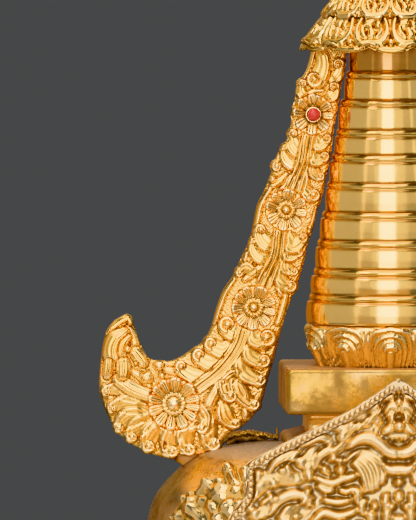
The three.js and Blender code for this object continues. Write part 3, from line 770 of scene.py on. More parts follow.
# Rolled leaves: start, centre of the roll, its radius, its hand, the leaf's half width and its bend.
RIBBON_CURLS = [
    ((-22.2, 145.4), (-19.7, 151.9), 2.6, 1, 2.2, 0.4), ((-24.2, 137.8), (-21.5, 142.8), 2.4, 1, 2.0, 0.4),
    ((-33.0, 138.6), (-34.1, 144.1), 2.0, -1, 1.8, 0.4), ((-27.0, 158.6), (-29.3, 146.1), 3.8, -1, 2.2, 0.3),
    ((-29.8, 111.4), (-26.8, 107.0), 1.9, 1, 2.0, 0.4), ((-33.4, 107.2), (-29.6, 99.6), 3.0, 1, 2.2, 0.5),
    ((-30.2, 117.4), (-25.4, 115.0), 2.5, 1, 2.6, 0.8), ((-29.4, 123.2), (-24.4, 122.2), 2.2, 1, 2.4, 1.0),
    ((-39.0, 113.0), (-44.4, 111.0), 2.3, 1, 1.9, 0.6), ((-35.2, 111.0), (-40.8, 118.2), 1.9, -1, 2.8, 0.3),
    ((-33.6, 115.2), (-37.8, 124.0), 2.2, -1, 2.8, 0.3), ((-41.0, 74.2), (-37.3, 69.0), 1.7, 1, 2.2, 0.5),
    ((-42.4, 72.2), (-38.8, 63.2), 3.0, 1, 2.2, 0.5), ((-40.6, 79.6), (-35.5, 76.4), 1.8, 1, 2.4, 0.8),
    ((-40.6, 84.2), (-33.9, 82.4), 2.3, 1, 3.0, 1.0), ((-49.4, 76.0), (-55.6, 73.6), 2.3, 1, 1.9, 0.6),
    ((-53.8, 68.2), (-59.2, 68.4), 2.0, 1, 1.9, 0.6), ((-47.8, 73.4), (-53.5, 80.7), 1.9, -1, 2.8, 0.3),
    ((-45.8, 78.2), (-50.9, 85.6), 2.5, -1, 2.8, 0.3), ((-70.2, 26.6), (-82.7, 31.0), 2.6, -1, 2.8, 0.3),
    ((-64.4, 36.2), (-75.6, 35.6), 3.0, -1, 3.2, 0.5), ((-60.8, 41.4), (-70.8, 40.0), 3.0, -1, 2.8, 0.6),
    ((-58.4, 47.6), (-64.2, 47.7), 3.9, -1, 2.4, 1.0), ((-61.0, 28.6), (-53.2, 15.6), 2.6, 1, 2.8, 0.3),
    ((-59.2, 36.2), (-50.8, 25.4), 2.6, 1, 2.8, 0.4), ((-55.8, 41.0), (-49.6, 33.2), 3.2, 1, 2.6, 0.5),
    ((-54.6, 47.4), (-48.4, 42.4), 4.2, 1, 2.6, 0.7), ((-66.0, 15.6), (-60.8, 8.0), 2.4, 1, 2.8, 0.3),
    ((-60.6, 28.4), (-62.9, 19.1), 3.0, 1, 2.0, 0.6), ((-71.6, 12.0), (-69.6, -0.2), 3.3, 1, 3.0, 0.2),
    ((-75.4, 14.6), (-74.4, 6.1), 2.5, -1, 2.2, 0.3), ((-79.4, 8.2), (-79.5, -2.3), 3.1, 1, 3.0, 0.3),
    ((-85.4, 6.6), (-86.3, -3.1), 3.0, 1, 3.0, 0.3), ((-91.0, 7.8), (-95.6, -1.0), 3.0, 1, 3.2, 0.3),
    ((-95.8, 9.6), (-102.4, 2.7), 2.6, 1, 3.0, 0.3), ((-97.2, 11.6), (-107.4, 6.4), 2.3, 1, 3.0, 0.35),
    ((-98.0, 14.6), (-110.3, 14.0), 2.2, 1, 2.8, 0.3), ((-101.6, 19.0), (-112.7, 20.8), 2.2, 1, 2.4, 0.3),
]
# Straps: path, and 1 where it is creased or 0 where it is smoothly lined.
RIBBON_STRAPS = [
    ([(-31.4, 124.0), (-32.8, 117.6), (-34.6, 110.8), (-36.6, 104.6), (-37.8, 101.2)], 1),
    ([(-42.8, 85.4), (-44.2, 77.2), (-46.8, 70.2), (-48.8, 65.0)], 1),
    ([(-57.6, 46.4), (-59.8, 39.6), (-63.6, 33.6), (-68.8, 28.0), (-76.0, 22.4)], 0),
]
STRAP_HALF = 2.6
# Rosettes: centre, radius, its boss, petals, ribs on each, its turn, how far its petals part and how
# blunt they are.
RIBBON_ROSETTES = [
    ((-29.8, 131.8), 8.4, "collet", 8, 4, 0.3, 0.11, 0.74),
    ((-40.6, 93.5), 8.6, "cup", 8, 5, 0.2, 0.12, 0.74),
    ((-53.6, 54.4), 9.2, "cup", 9, 5, 0.1, 0.10, 0.78),
    ((-85.6, 15.9), 10.8, "beaded", 12, 4, 0.1, 0.05, 0.82),
]
RIBBON_BALLS = [
    ((-96.3, 26.3), 2.6), ((-91.4, 31.2), 2.0), ((-46.4, 105.8), 1.5), ((-104.2, 37.9), 1.5),
    ((-100.8, 32.2), 1.0), ((-28.9, 126.0), 0.9), ((-31.0, 86.4), 1.0), ((-44.4, 100.6), 0.9),
    ((-65.8, 24.6), 1.0), ((-90.4, 27.2), 1.2), ((-55.4, 9.8), 1.1),
]
# Plain and lined leaves: path, half widths, rise and ridges.
RIBBON_LEAVES = [
    ([(-29.4, 158.8), (-31.4, 152.0), (-33.6, 147.0)], [0.9, 1.2, 0.9], 1.0, 0),
    ([(-26.0, 141.4), (-28.6, 141.6), (-31.6, 140.4)], [0.8, 1.2, 0.8], 0.9, 0),
    ([(-36.2, 109.2), (-38.8, 105.4), (-42.2, 101.8)], [1.0, 2.2, 1.4], 1.1, 3),
    ([(-40.6, 108.0), (-43.2, 105.2), (-46.6, 102.8)], [0.9, 1.9, 1.0], 1.2, 0),
    ([(-32.4, 111.0), (-32.8, 105.0), (-33.6, 99.6)], [0.8, 1.7, 1.2], 1.0, 0),
    ([(-47.0, 102.0), (-50.6, 96.2), (-52.2, 89.6), (-53.6, 83.4)], [0.8, 1.2, 1.2, 0.8], 1.1, 0),
    ([(-28.4, 94.4), (-29.4, 89.6), (-31.4, 84.6)], [0.7, 1.0, 0.7], 0.8, 0),
    ([(-48.4, 72.0), (-52.0, 69.6), (-57.2, 65.6)], [1.0, 2.2, 1.2], 1.1, 3),
    ([(-44.2, 73.0), (-44.0, 65.4), (-42.4, 59.4)], [0.9, 1.9, 1.3], 1.2, 0),
    ([(-61.4, 66.0), (-65.6, 59.8), (-68.0, 53.0), (-69.6, 48.0)], [0.8, 1.3, 1.3, 0.8], 1.1, 0),
    ([(-40.6, 59.6), (-42.2, 53.4), (-44.0, 48.0)], [1.2, 1.6, 1.2], 1.0, 0),
    ([(-61.4, 33.0), (-67.4, 23.0), (-71.6, 14.0), (-71.0, 8.0)], [0.9, 2.4, 2.8, 2.2], 1.3, 3),
    ([(-64.6, 28.4), (-57.4, 21.0), (-56.6, 10.4)], [0.8, 2.2, 1.6], 1.1, 4),
    ([(-72.8, 23.4), (-80.0, 27.8), (-88.6, 29.4)], [1.0, 2.0, 1.4], 1.0, 3),
    ([(-75.0, 6.8), (-83.0, 4.6), (-90.0, 6.4)], [1.2, 1.8, 1.2], 1.0, 4),
    ([(-95.6, 23.0), (-99.0, 27.0), (-103.6, 29.6)], [1.2, 1.7, 1.2], 1.0, 0),
]
# Leaves at the curled tip: path, half widths, rise and ridges.
TIP_LEAVES = [
    ([(-95.6, 19.2), (-102.4, 22.0), (-107.4, 25.6)], [2.6, 3.1, 3.0], 1.9, 5),
    ([(-101.8, 36.9), (-101.0, 40.2), (-102.6, 44.3), (-104.2, 46.5)], [1.6, 2.1, 2.0, 1.2], 2.0, 0),
    ([(-112.4, 43.9), (-109.7, 47.5), (-106.9, 49.6), (-104.2, 50.4), (-102.9, 48.6)],
     [1.0, 1.5, 1.6, 1.6, 1.4], 2.2, 0),
    ([(-109.8, 33.6), (-110.2, 38.0), (-108.6, 42.0), (-105.6, 44.6)], [4.0, 4.4, 4.2, 2.4], 2.4, 5),
    ([(-105.4, 33.4), (-106.4, 36.4), (-105.6, 40.2), (-103.6, 42.8)], [1.4, 2.0, 2.0, 1.2], 2.0, 3),
    ([(-112.4, 27.6), (-112.0, 30.0), (-111.8, 32.6)], [1.9, 2.2, 2.0], 2.0, 4),
    ([(-106.0, 27.4), (-105.8, 29.6), (-105.9, 31.6)], [2.6, 3.4, 3.2], 2.2, 5),
    ([(-97.8, 32.4), (-99.2, 34.4), (-100.8, 36.4)], [2.2, 3.2, 2.8], 2.2, 5),
]


def ribbon_outline(rows):
    """The ribbon's two edges at the given number of rows: swollen round its rolled leaves, and plain."""
    stations = np.array(RIBBON_STATIONS)
    outer, inner = smooth_path(stations[:, :2], 10), smooth_path(stations[:, 2:], 10)
    run = 0.3 * run_along(outer) + 0.3 * run_along(inner) + 0.4 * run_along((outer + inner) / 2)
    wanted = np.linspace(0, run[-1], rows)
    plain = [picked(edge, run, wanted) for edge in (outer, inner)]
    edges = [edge.copy() for edge in plain]
    for edge in edges:
        for _, centre, radius, *_ in RIBBON_CURLS:
            away = edge - np.array(centre)
            distance = np.hypot(*away.T)
            limit = radius + 0.35
            push = (distance < limit) & (distance > 0.4 * radius)
            edge[push] += away[push] / distance[push, None] * (limit - distance[push, None])
    return edges, plain


def chase_ribbon(relief, edge_distance, flowers):
    """Everything that is chased into the face of a ribbon. Its rosettes are chased too where flowers is
    true; elsewhere they are pieces of their own, and only their seats are sunk."""
    relief.stipple(0.2, 1.3)
    relief.height *= ease(relief.x, -100, -96)
    for path, widths, rise, ridges in RIBBON_LEAVES:
        relief.leaf(path, widths, 1.3 * rise, flutes=ridges, flute=0.1, groove=0.45, flat=0.9)
    for curl in RIBBON_CURLS:
        relief.curl(*curl)
    for path, rough in RIBBON_STRAPS:
        relief.strap(path, STRAP_HALF, rough)
    for path, widths, rise, ridges in TIP_LEAVES:
        relief.leaf(path, widths, rise, flutes=ridges, flute=0.12, groove=0.5)
    for centre, radius in RIBBON_BALLS:
        relief.ball(centre, radius, 1.2 * radius if radius < 1.4 else 1.7)
    relief.swell(0.07, 11.0)
    relief.pit(-89.4, -0.8, 0.7, 2.0, 1.8)
    for centre, radius, kind, *form in RIBBON_ROSETTES:
        if flowers:
            relief.rosette(centre, radius, *form)
            relief.boss(centre, radius, kind)
        else:
            near, reach, _ = relief.polar(centre, 1.3 * radius)
            relief.lay(near, ease(reach, 1.02 * radius, 0.92 * radius), -0.5)
    relief.height -= ease(edge_distance, 1.3, 0.0)


def make_rosettes(name, rings, detail, side, material):
    """The rosettes on the front of a ribbon, each closed by a flat back inside the ribbon's sheet."""
    for i, (centre, radius, kind, petals, ribs, *form) in enumerate(RIBBON_ROSETTES):
        segments = petals * ribs * detail
        reach = radius * np.concatenate([[1.06], np.linspace(1.06, 0.03, rings)])[:, None]
        angle = circle(segments)
        relief = Relief(centre[0] + reach * np.cos(angle), centre[1] + reach * np.sin(angle))
        relief.height -= 1.6
        relief.rosette(centre, radius, petals, ribs, *form, rise=2.2)
        relief.boss(centre, radius, kind)
        height = RIBBON_SEAT + relief.height
        height[0] = 0.5
        points = np.stack([-side * relief.x, -height, relief.z + DOME_TOP], axis=-1)
        # strong painted highlight on the petals' ribs and painted shade between them
        tone = np.clip(0.54 + (relief.height - softened(relief.height, 3, True)) / 0.14, 0, 1)
        make_piece(f"{name}_{i + 1}", points, tube_faces(rings + 1, segments), material, relief=tone)


def ribbon_half(name, rows, columns, side, face, material, replaces):
    """One chased sheet of a ribbon, closed along the ribbon's middle plane.

    side is -1 for the left ribbon and 1 for the right one; face is -1 for the front sheet and 1 for
    the back one, whose rosettes are chased in the sheet itself."""
    (outer, inner), (plain_outer, plain_inner) = ribbon_outline(rows)
    blend = np.linspace(0, 1, columns)
    x, z = spanned(outer, inner, blend)
    from_tip = 1 - np.arange(rows)[:, None] / (rows - 1)
    breadth = np.hypot(*(outer - inner).T)[:, None]
    edge_distance = np.minimum(np.minimum(blend, 1 - blend) * breadth, from_tip * RIBBON_TIP_RUN)
    relief = Relief(x, z)
    chase_ribbon(relief, edge_distance, face > 0)

    def place(x, z, height):
        return np.stack([-side * x, face * height, z + DOME_TOP], axis=-1)

    span_x, span_z = (plain_inner - plain_outer).T[:, :, None]
    span = np.hypot(span_x, span_z)
    share = ((x - plain_outer[:, :1]) * span_x + (z - plain_outer[:, 1:]) * span_z) / span**2
    bow = RIBBON_BOW * (1 - (2 * np.clip(share, 0, 1) - 1) ** 2) * np.minimum(1, span / 24)
    height = RIBBON_HALF + RIBBON_FACE + bow + relief.height
    # painted highlight on ridges and painted shade in hollows, set a little darker and sharpened on small
    # forms, plus the relief's painted shade
    fine = np.clip((relief.height - softened(relief.height, 1)) / 0.42, -0.28, 0.2)
    tone = np.clip(relief_light_and_shade(relief.height, 1.9, 14) - 0.06 + fine + relief.shade, 0, 1)
    sheet_piece(name, x, z, height, place, material, replaces, tone)


def make_ribbons(material, petals):
    for name, rows, columns, side, face, replaces in (
        ("ribbon_left_front", 700, 106, -1, -1, ["ribbon_left"]),
        ("ribbon_left_back", 260, 36, -1, 1, []),
        ("ribbon_right_front", 360, 48, 1, -1, ["ribbon_right"]),
        ("ribbon_right_back", 260, 36, 1, 1, []),
    ):
        ribbon_half(name, rows, columns, side, face, material, replaces)
    make_rosettes("rosette_left", rings=24, detail=8, side=-1, material=petals)
    make_rosettes("rosette_right", rings=14, detail=5, side=1, material=petals)


# Spire

# Rings: heights over the dome of the drum's foot and top and of its collar's top, then the drum's
# radius at its foot, middle and top, and the collar's radius.
RINGS = [
    (48.4, 57.0, 60.0, 32.3, 32.5, 32.0, 31.0), (60.0, 67.2, 70.4, 30.4, 30.7, 30.2, 29.2),
    (70.4, 78.6, 81.8, 28.7, 28.8, 28.5, 27.7), (81.8, 90.2, 93.0, 27.0, 27.0, 26.6, 25.9),
    (93.0, 102.2, 104.8, 24.7, 24.8, 24.4, 23.9), (104.8, 113.0, 116.0, 23.2, 23.1, 22.7, 22.0),
    (116.0, 123.0, 126.0, 21.2, 21.0, 20.7, 20.1), (126.0, 135.2, 137.8, 19.7, 19.5, 19.1, 18.5),
    (137.8, 146.4, 149.0, 17.4, 17.2, 16.9, 16.3),
]
RING_LIP = 0.25
SPIRE_SEGMENTS = 192
# The tube between the rings and the umbrella: radius, and height over the last ring.
SPIRE_NECK = [(0.5, 0), (15.0, 0), (15.3, 0.4), (15.35, 4), (15.25, 8), (15.1, 11.2), (0.5, 11.2)]


def ring_shape(angle, radius, height):
    """Rings stay plain; their collars and edges are painted deeper in colour as painted shade."""
    z = height - DOME_TOP
    tone = np.full_like(z, 0.56)
    for _, top, end, *_ in RINGS:
        tone = np.where((z > top - 0.2) & (z <= end), 0.34, tone)
        tone = np.where(np.abs(z - end) < 0.45, 0.16, tone)
        tone = np.where(np.abs(z - top) < 0.35, 0.2, tone)
    return 0 * z, 0 * z, tone


def ring_rows(foot, top, end, low, middle, high, collar):
    """A drum with rounded edges and the collar on it."""
    rows = [(0.5, foot), (low - RING_LIP, foot), (low - 0.1, foot + 0.1), (low, foot + RING_LIP)]
    rows += [(middle, (foot + top) / 2), (high, top - RING_LIP), (high - 0.1, top - 0.1)]
    rows += [(high - RING_LIP, top), (collar - 0.1, top + 0.1), (collar - 0.2, top + 0.5)]
    rows += [(collar + 0.1, top + 0.8), (collar + 0.2, (top + end) / 2 + 0.1), (collar + 0.1, end - 0.7)]
    return rows + [(collar - 0.3, end - 0.4), (collar - 0.3, end), (0.5, end)]


def make_rings(material):
    for i, ring in enumerate(RINGS):
        node = f"ring_{i + 1}"
        round_piece(
            f"{node}_drum", ring_rows(*ring), DOME_TOP, material, [node], SPIRE_SEGMENTS,
            step=0.9, shape=ring_shape, wobble=0.08, phase=1.3 * i,
        )
    round_piece(
        "spire_neck_tube", SPIRE_NECK, DOME_TOP + RINGS[-1][2], material, ["spire_neck"],
        SPIRE_SEGMENTS, step=0.9, wobble=0.06, phase=4.0,
    )


FRONT = -math.pi / 2


def petal_share(angle, count, turn=FRONT):
    """The place of each angle in its petal, from -0.5 to 0.5 of the petal's width."""
    share = (angle - turn) * count / (2 * math.pi)
    return share - np.round(share)


def petal_fold(angle, count, turn=FRONT):
    """How far each angle is from the middle of its petal, from 0 to half a petal's width."""
    return np.abs(petal_share(angle, count, turn))


SPIRE_PETALS = 10
SPIRE_PETAL_WIDTH = 20.2
# Arches of a spire petal: half width, height of the crown, how far it stands out and half its line.
SPIRE_ARCHES = [(8.9, 47.2, 1.2, 0.8), (6.7, 44.4, 1.1, 0.6), (4.6, 42.3, 1.0, 0.5)]
SPIRE_LOTUS = [
    (0.5, 31.4), (27.0, 31.4), (27.5, 31.8), (30.2, 37.4), (32.0, 43.4), (32.5, 46.4), (32.2, 47.6),
    (31.4, 48.4), (0.5, 48.4),
]


def spire_lotus_shape(angle, radius, height):
    z = height - DOME_TOP
    relief = Relief(petal_fold(angle, SPIRE_PETALS) * SPIRE_PETAL_WIDTH, z)
    relief.height += 0.07 * np.cos(relief.x * 2 * math.pi / 1.7) * ease(z, 44, 40)
    relief.leaf([(10.1, 32), (10.1, 41), (10.1, 46.2)], [0.7, 1.5, 0.5], 1.3)
    for reach, crown, rise, half in SPIRE_ARCHES:
        path = [(0.9 * reach, 31.6), (reach, 36.5), (0.88 * reach, crown - 3.2)]
        path += [(0.5 * reach, crown - 0.9), (0, crown)]
        widths = [0.5 * half, 0.7 * half, half, 1.3 * half, 1.4 * half]
        relief.leaf(path, widths, rise, groove=0.35, line=0.3)
    relief.leaf([(0, 31.6), (0, 36), (0, 38.4)], [1.5, 1.9, 1.8], 1.5, flat=0.4)
    relief.leaf([(0, 40.2), (1.4, 39.9), (2.4, 38.4)], [1.3, 1.2, 0.6], 2.2)
    swell = 1.1 * (1 - (relief.x / 10.1) ** 2) * ease(z, 48.4, 45.5)
    # painted light: the tone is lifted to stand for light bounced up from below, over the relief's painted
    # highlight and shade
    return relief.height + swell - 0.9, 0 * z, relief_light_and_shade(relief.height, 3.4, 8, True) + 0.08


def make_spire_foot(chased):
    round_piece(
        "spire_lotus_petals", SPIRE_LOTUS, DOME_TOP, chased, ["spire_lotus"],
        segments=440, step=0.45, shape=spire_lotus_shape,
    )


# Umbrella

# Leaves and holes inside a hanging petal, and half of its rim, from its middle line and lowest point.
PETAL_LEAVES = [
    ([(-1.0, 2.0), (0.4, 3.8), (-0.3, 6.0)], [1.5, 2.2, 1.3], 1.4),
    ([(-3.0, 2.8), (-4.6, 4.8), (-4.6, 7.0)], [1.4, 2.0, 1.2], 1.3),
    ([(-3.0, 8.8), (-1.2, 9.0), (0.4, 10.2)], [1.4, 1.8, 1.1], 1.2),
    ([(3.0, 2.6), (4.6, 4.2), (5.0, 6.2)], [1.3, 1.9, 1.1], 1.3),
]
PETAL_HOLES = [(-2.3, 5.6, 0.6, 1.2), (2.4, 4.8, 0.6, 1.3), (0.6, 8.0, 0.9, 0.5)]
PETAL_RIM = [(0, 0.6), (3.2, 0.9), (5.9, 2.6), (7.3, 5.4), (7.0, 8.4), (5.6, 11.4)]
PETAL_RIM_HALF = [0.8, 1.1, 1.3, 1.5, 1.5, 1.6, 1.5, 1.5, 1.3, 1.1, 0.8]
UMBRELLA_PETALS = 12
UMBRELLA_TURN = FRONT + math.pi / UMBRELLA_PETALS
UMBRELLA_RIM = 157.2
UMBRELLA_PETAL_WIDTH = 17.6
UPPER_FOOT = 170.6
UPPER_PETAL_WIDTH = 13.4
CROWN_FOOT = 187
CROWN_PETAL_WIDTH = 8.2
# Sections of the umbrella's parts: radius and height over the dome.
UMBRELLA_LOWER = [
    (0.5, 160.2), (31.5, 160.2), (32.0, 160.0), (32.7, 157.5), (33.3, 157.2), (34.4, 157.3), (34.6, 157.8),
    (34.1, 159.3), (31.2, 162.5), (27.8, 167.1), (24.9, 170.4), (24.6, 170.6), (0.5, 170.6),
]
UMBRELLA_UPPER = [
    (0.5, 170.6), (24.2, 170.6), (25.8, 171.2), (25.6, 172.0), (22.6, 175.6), (19.6, 179.2), (15, 183.2),
    (9, 186.8), (8.8, 187), (0.5, 187),
]
UMBRELLA_CROWN = [
    (0.5, 187), (8, 187), (6.4, 188.6), (7.6, 190), (10.4, 192.4), (10.8, 194), (6.5, 195.4), (5.2, 197.8),
    (5, 198), (0.5, 198),
]


def hanging_petal(relief, low, scale, base):
    """A petal with a broad rolled rim round openwork leaves."""

    def form(points, half_widths, rise, **settings):
        path = [(x * scale, low + z * scale) for x, z in points]
        relief.leaf(path, [half * scale for half in half_widths], rise, base=base, **settings)

    inside = (relief.z > low) & (relief.z < low + 11.5 * scale)
    inside &= np.hypot(relief.x / 1.2, relief.z - low - 6.2 * scale) < 6.2 * scale
    relief.height[inside] = base
    for path, widths, rise in PETAL_LEAVES:
        form(path, widths, rise, groove=0.4, line=0.4, flat=0.6)
    relief.ball((3.0 * scale, low + 8.4 * scale), 1.7 * scale, 1.4, base)
    for x, z, half_x, half_z in PETAL_HOLES:
        relief.pit(x * scale, low + z * scale, half_x * scale, half_z * scale, 2.2)
    rim = [(-x, z) for x, z in PETAL_RIM[::-1]] + PETAL_RIM[1:]
    form(rim, PETAL_RIM_HALF, 1.2, groove=0.9, line=0.6, flat=0.55)


def umbrella_lower_shape(angle, radius, height):
    share = petal_fold(angle, UMBRELLA_PETALS)
    z = height - DOME_TOP - UMBRELLA_RIM
    outer = (radius > 24.7) & (z > 0.2) & ((radius > 33.4) | (z > 3.3))
    rear = Relief(share * UMBRELLA_PETAL_WIDTH, z)
    rear.leaf([(0, 4.6), (1.6, 5.6), (2.2, 7.4)], [1.0, 1.0, 0.6], 1.5)
    rear.leaf([(0.6, 2.6), (3.0, 3.0), (4.6, 4.6)], [0.6, 0.8, 0.5], 1.3)
    rear.pit(1.7, 4.2, 0.9, 0.55, 2.0)
    rear.pit(0, 7.4, 0.8, 0.9, 2.0)
    rim = [(0, 0.9), (3.4, 1.3), (6.2, 3.0), (7.6, 5.6)]
    rear.leaf(rim, [1.6, 1.5, 1.3, 1.0], 1.2, groove=0.7, line=0.5, flat=0.35)
    front = Relief(petal_share(angle, UMBRELLA_PETALS, UMBRELLA_TURN) * UMBRELLA_PETAL_WIDTH, z)
    front.height = rear.height
    hanging_petal(front, 2.8, 0.98, 0.9)
    push = np.where(outer, front.height - 0.6, 0)
    lift = 2.2 * (2 * share) ** 2.2 * ease(z, 6, 0) * (radius > 31.6)
    # painted highlight on the petals' ridges and painted shade in their hollows, set a little darker; painted
    # shade, darker still, on the underside and on the top that the upper petals cover
    return push, lift, np.where(outer, relief_light_and_shade(front.height, 2.8, 8, True) - 0.09, 0.3)


def umbrella_upper_shape(angle, radius, height):
    share = petal_fold(angle, UMBRELLA_PETALS, UMBRELLA_TURN)
    z = height - DOME_TOP - UPPER_FOOT
    rear = Relief((0.5 - share) * UPPER_PETAL_WIDTH, z)
    rear.leaf([(0, 3.2), (0, 8), (0, 13)], [1.6, 1.8, 0.8], 1.0, flutes=3)
    front = Relief(petal_share(angle, UMBRELLA_PETALS, UMBRELLA_TURN) * UPPER_PETAL_WIDTH, z)
    front.height = rear.height
    hanging_petal(front, 0.8, 0.8, 0.7)
    front.leaf([(0, 10.6), (0, 13), (0, 16)], [2.0, 1.6, 1.0], 0.8, flutes=3)
    lift = -1.0 * ease(z, 3, 0) * (1 - 2 * share) * (radius > 24)
    # painted highlight on ridges and painted shade in hollows, set a little darker
    return front.height - 0.6, lift, relief_light_and_shade(front.height, 2.6, 8, True) - 0.09


def crown_shape(angle, radius, height):
    relief = Relief(petal_fold(angle, 8) * CROWN_PETAL_WIDTH, height - DOME_TOP - CROWN_FOOT)
    relief.leaf([(0, 2.2), (0, 5), (0, 7.6)], [2.2, 3.2, 0.8], 0.9, flutes=2, flute=0.2)
    relief.leaf([(4.1, 3.6), (4.1, 6), (4.1, 7.8)], [0.7, 1.1, 0.3], 0.7)
    # painted highlight on ridges and painted shade in hollows
    return relief.height - 0.3, 0 * height, relief_light_and_shade(relief.height, 1.2, 6, True)


def make_umbrella(chased):
    for name, node, rows, segments, step, shape in (
        ("umbrella_lower_petals", "umbrella_lower", UMBRELLA_LOWER, 600, 0.5, umbrella_lower_shape),
        ("umbrella_upper_petals", "umbrella_upper", UMBRELLA_UPPER, 480, 0.6, umbrella_upper_shape),
        ("umbrella_crown_lotus", "umbrella_crown", UMBRELLA_CROWN, 160, 0.6, crown_shape),
    ):
        round_piece(name, rows, DOME_TOP, chased, [node], segments, step, shape)


# Finial

JEWEL = [
    (0.3, 0), (2.6, 0), (3.4, 1.2), (3.0, 2.0), (6.2, 4.4), (7.3, 7.6), (6.3, 11.4), (3.8, 16), (1.5, 20.4),
    (0.7, 22.8), (0.5, 23.3), (0.2, 23.4),
]
MOON_RISE = 17.3  # the middle of its outer circle over its foot
MOON_OUTER = 17.0
MOON_INNER = 15.4
MOON_SHIFT = 6.2  # how far the inner circle's middle lies above the outer one's
MOON_STEPS = 121
MOON_SIDES = 24
MOON_FOOT = [(0.4, -0.6), (4.4, -0.6), (4.4, 0.4), (3.6, 1.2), (3.8, 2.2), (3.4, 3), (0.4, 3)]
SUN_RINGS = 24
SUN_RIM = 6
SUN_SIDES = 128


def jewel_shape(angle, radius, height):
    push = 0.5 * np.cos(2 * math.pi * petal_fold(angle, 6)) * ease(radius, 1.5, 5)
    return push, 0 * push, 0.5 + 0.5 * push


def make_jewel(bright):
    foot = cad_low("jewel")[2]
    round_piece(
        "finial_jewel", JEWEL, foot, bright, ["jewel"],
        segments=72, step=0.8, shape=jewel_shape,
    )


def make_moon(bright):
    """A crescent of lens section between two circles, on a small foot."""
    foot = cad_low("moon")[2]
    meet = (MOON_OUTER**2 - MOON_INNER**2 + MOON_SHIFT**2) / (2 * MOON_SHIFT)
    end = math.acos(-math.sqrt(MOON_OUTER**2 - meet**2) / MOON_OUTER) - math.pi
    angle = np.linspace(math.pi - end, 2 * math.pi + end, MOON_STEPS)
    reach = MOON_SHIFT * np.sin(angle)
    reach = reach + np.sqrt(np.maximum(MOON_INNER**2 - (MOON_SHIFT * np.cos(angle)) ** 2, 0))
    round_the_middle = np.stack([np.cos(angle), np.sin(angle)], axis=1)
    outer, inner = MOON_OUTER * round_the_middle, reach[:, None] * round_the_middle
    turn = circle(MOON_SIDES)
    x, z = spanned(outer, inner, 0.5 + 0.5 * np.cos(turn))
    y = np.sin(turn) * 2.5 * np.minimum(1, np.hypot(*(outer - inner).T) / 3.0)[:, None]
    points = np.stack([x, y, z + foot + MOON_RISE], axis=-1)
    faces = tube_faces(MOON_STEPS, MOON_SIDES)
    make_piece("finial_moon", points, faces, bright, ["moon"])
    round_piece("finial_moon_foot", MOON_FOOT, foot, bright, (), segments=64, step=0.3)


def make_sun(chased):
    """A disc with a rayed face on both sides."""
    radius = np.linspace(0.2, 9.3, SUN_RINGS)
    radius = np.concatenate([radius, np.full(SUN_RIM, 9.4), radius[::-1]])[:, None]
    side = [np.full(SUN_RINGS, -1.0), np.linspace(-0.8, 0.8, SUN_RIM), np.full(SUN_RINGS, 1.0)]
    side = np.concatenate(side)[:, None]
    turn = circle(SUN_SIDES)
    rays = 0.5 * np.cos(16 * turn) * ease(radius, 4.0, 5.2) * ease(radius, 9.2, 8.2)
    thick = 2.0 + 0.9 * ridge(radius, 4.2, 0.5) + 0.9 * ridge(radius, 8.8, 0.5) + dome(radius / 3.2) + rays
    x, z = radius * np.cos(turn), cad_middle("sun")[2] + radius * np.sin(turn)
    points = np.stack([x, side * thick, z], axis=-1)
    # painted highlight on the rays and painted shade between them
    tone = np.clip(0.5 + 0.35 * rays, 0, 1)
    faces = tube_faces(len(radius), SUN_SIDES)
    make_piece("finial_sun", points, faces, chased, ["sun"], tone)


# Harmika

# Half width and height over the dome.
CASKET = [
    (0.5, 13.5), (40.6, 13.5), (41.5, 13.7), (41.9, 14.1), (42.0, 14.8), (42.0, 29.8), (41.95, 30.1),
    (41.45, 31.1), (41.1, 31.35), (40.5, 31.4), (0.5, 31.4),
]
PLINTH = [(0.5, -1.5), (41.6, -1.5), (41.6, 1.0), (41.2, 2.4), (40.2, 3.2), (33.4, 5.2), (0.5, 5.2)]
COLLAR = [
    (0.5, 4.8), (33.0, 4.8), (32.8, 5.6), (32.6, 9.0), (33.0, 11.2), (33.7, 11.6), (33.7, 12.1), (33.3, 12.4),
    (34.4, 12.9), (34.4, 13.6), (0.5, 13.6),
]


def dented(across, half, height):
    """Slight unevenness of hand-raised sheet."""
    push = 0.22 * np.sin(across * 0.075 + 0.7) * np.sin(height * 0.21) + 0.12 * np.sin(across * 0.19 + 1.3)
    return push - 0.12, np.full_like(push, 0.5)


def make_harmika(plain, dusty):
    for name, rows, material, replaces, columns, step, corner in (
        ("harmika_casket", CASKET, dusty, ["harmika_block"], 44, 0.6, 0.5),
        ("harmika_plinth", PLINTH, dusty, [], 16, 1.5, 1.2),
        ("harmika_collar", COLLAR, plain, ["harmika_neck"], 36, 0.45, 0.6),
    ):
        square_piece(name, rows, DOME_TOP, material, replaces, columns, step, dented, corner)


# Dome and foliage

# The dome's section: radius and height.
DOME_OUTLINE = [
    (0.5, 158), (75.4, 158), (76.2, 158.6), (81.6, 175), (87.4, 196), (92.4, 220), (95.2, 238), (96.6, 252),
    (97, 262), (96.8, 266.4), (96.2, 270.4), (95.2, 274.2), (93.9, 277.4), (92.4, 280.1), (90.6, 282.4),
    (88.0, 285.4), (85.3, 288), (82.6, 290.6), (80, 292.6), (77.6, 294.2), (75.2, 295.6), (71, 297.0),
    (66, 298.2), (58, 299.3), (50, 300), (0.5, 300),
]
DOME_LOW = 158
DOME_HIGH = 300
# The foliage's outer and inner edge as seen from the front: x, and height over the dome's top.
FOLIAGE_OUTER = [
    (-53, -7), (-60, -6.4), (-66, -7.6), (-71.5, -11.6), (-80, -17), (-85.6, -24), (-88.8, -32), (-89.4, -42),
    (-87, -58), (-79, -70), (-67, -77), (-54, -79),
]
FOLIAGE_INNER = [
    (-48, -7), (-48.4, -12), (-48.8, -18), (-49, -25), (-48.5, -34), (-48, -43), (-47.5, -54), (-47, -64),
    (-46.5, -70), (-46, -74),
]
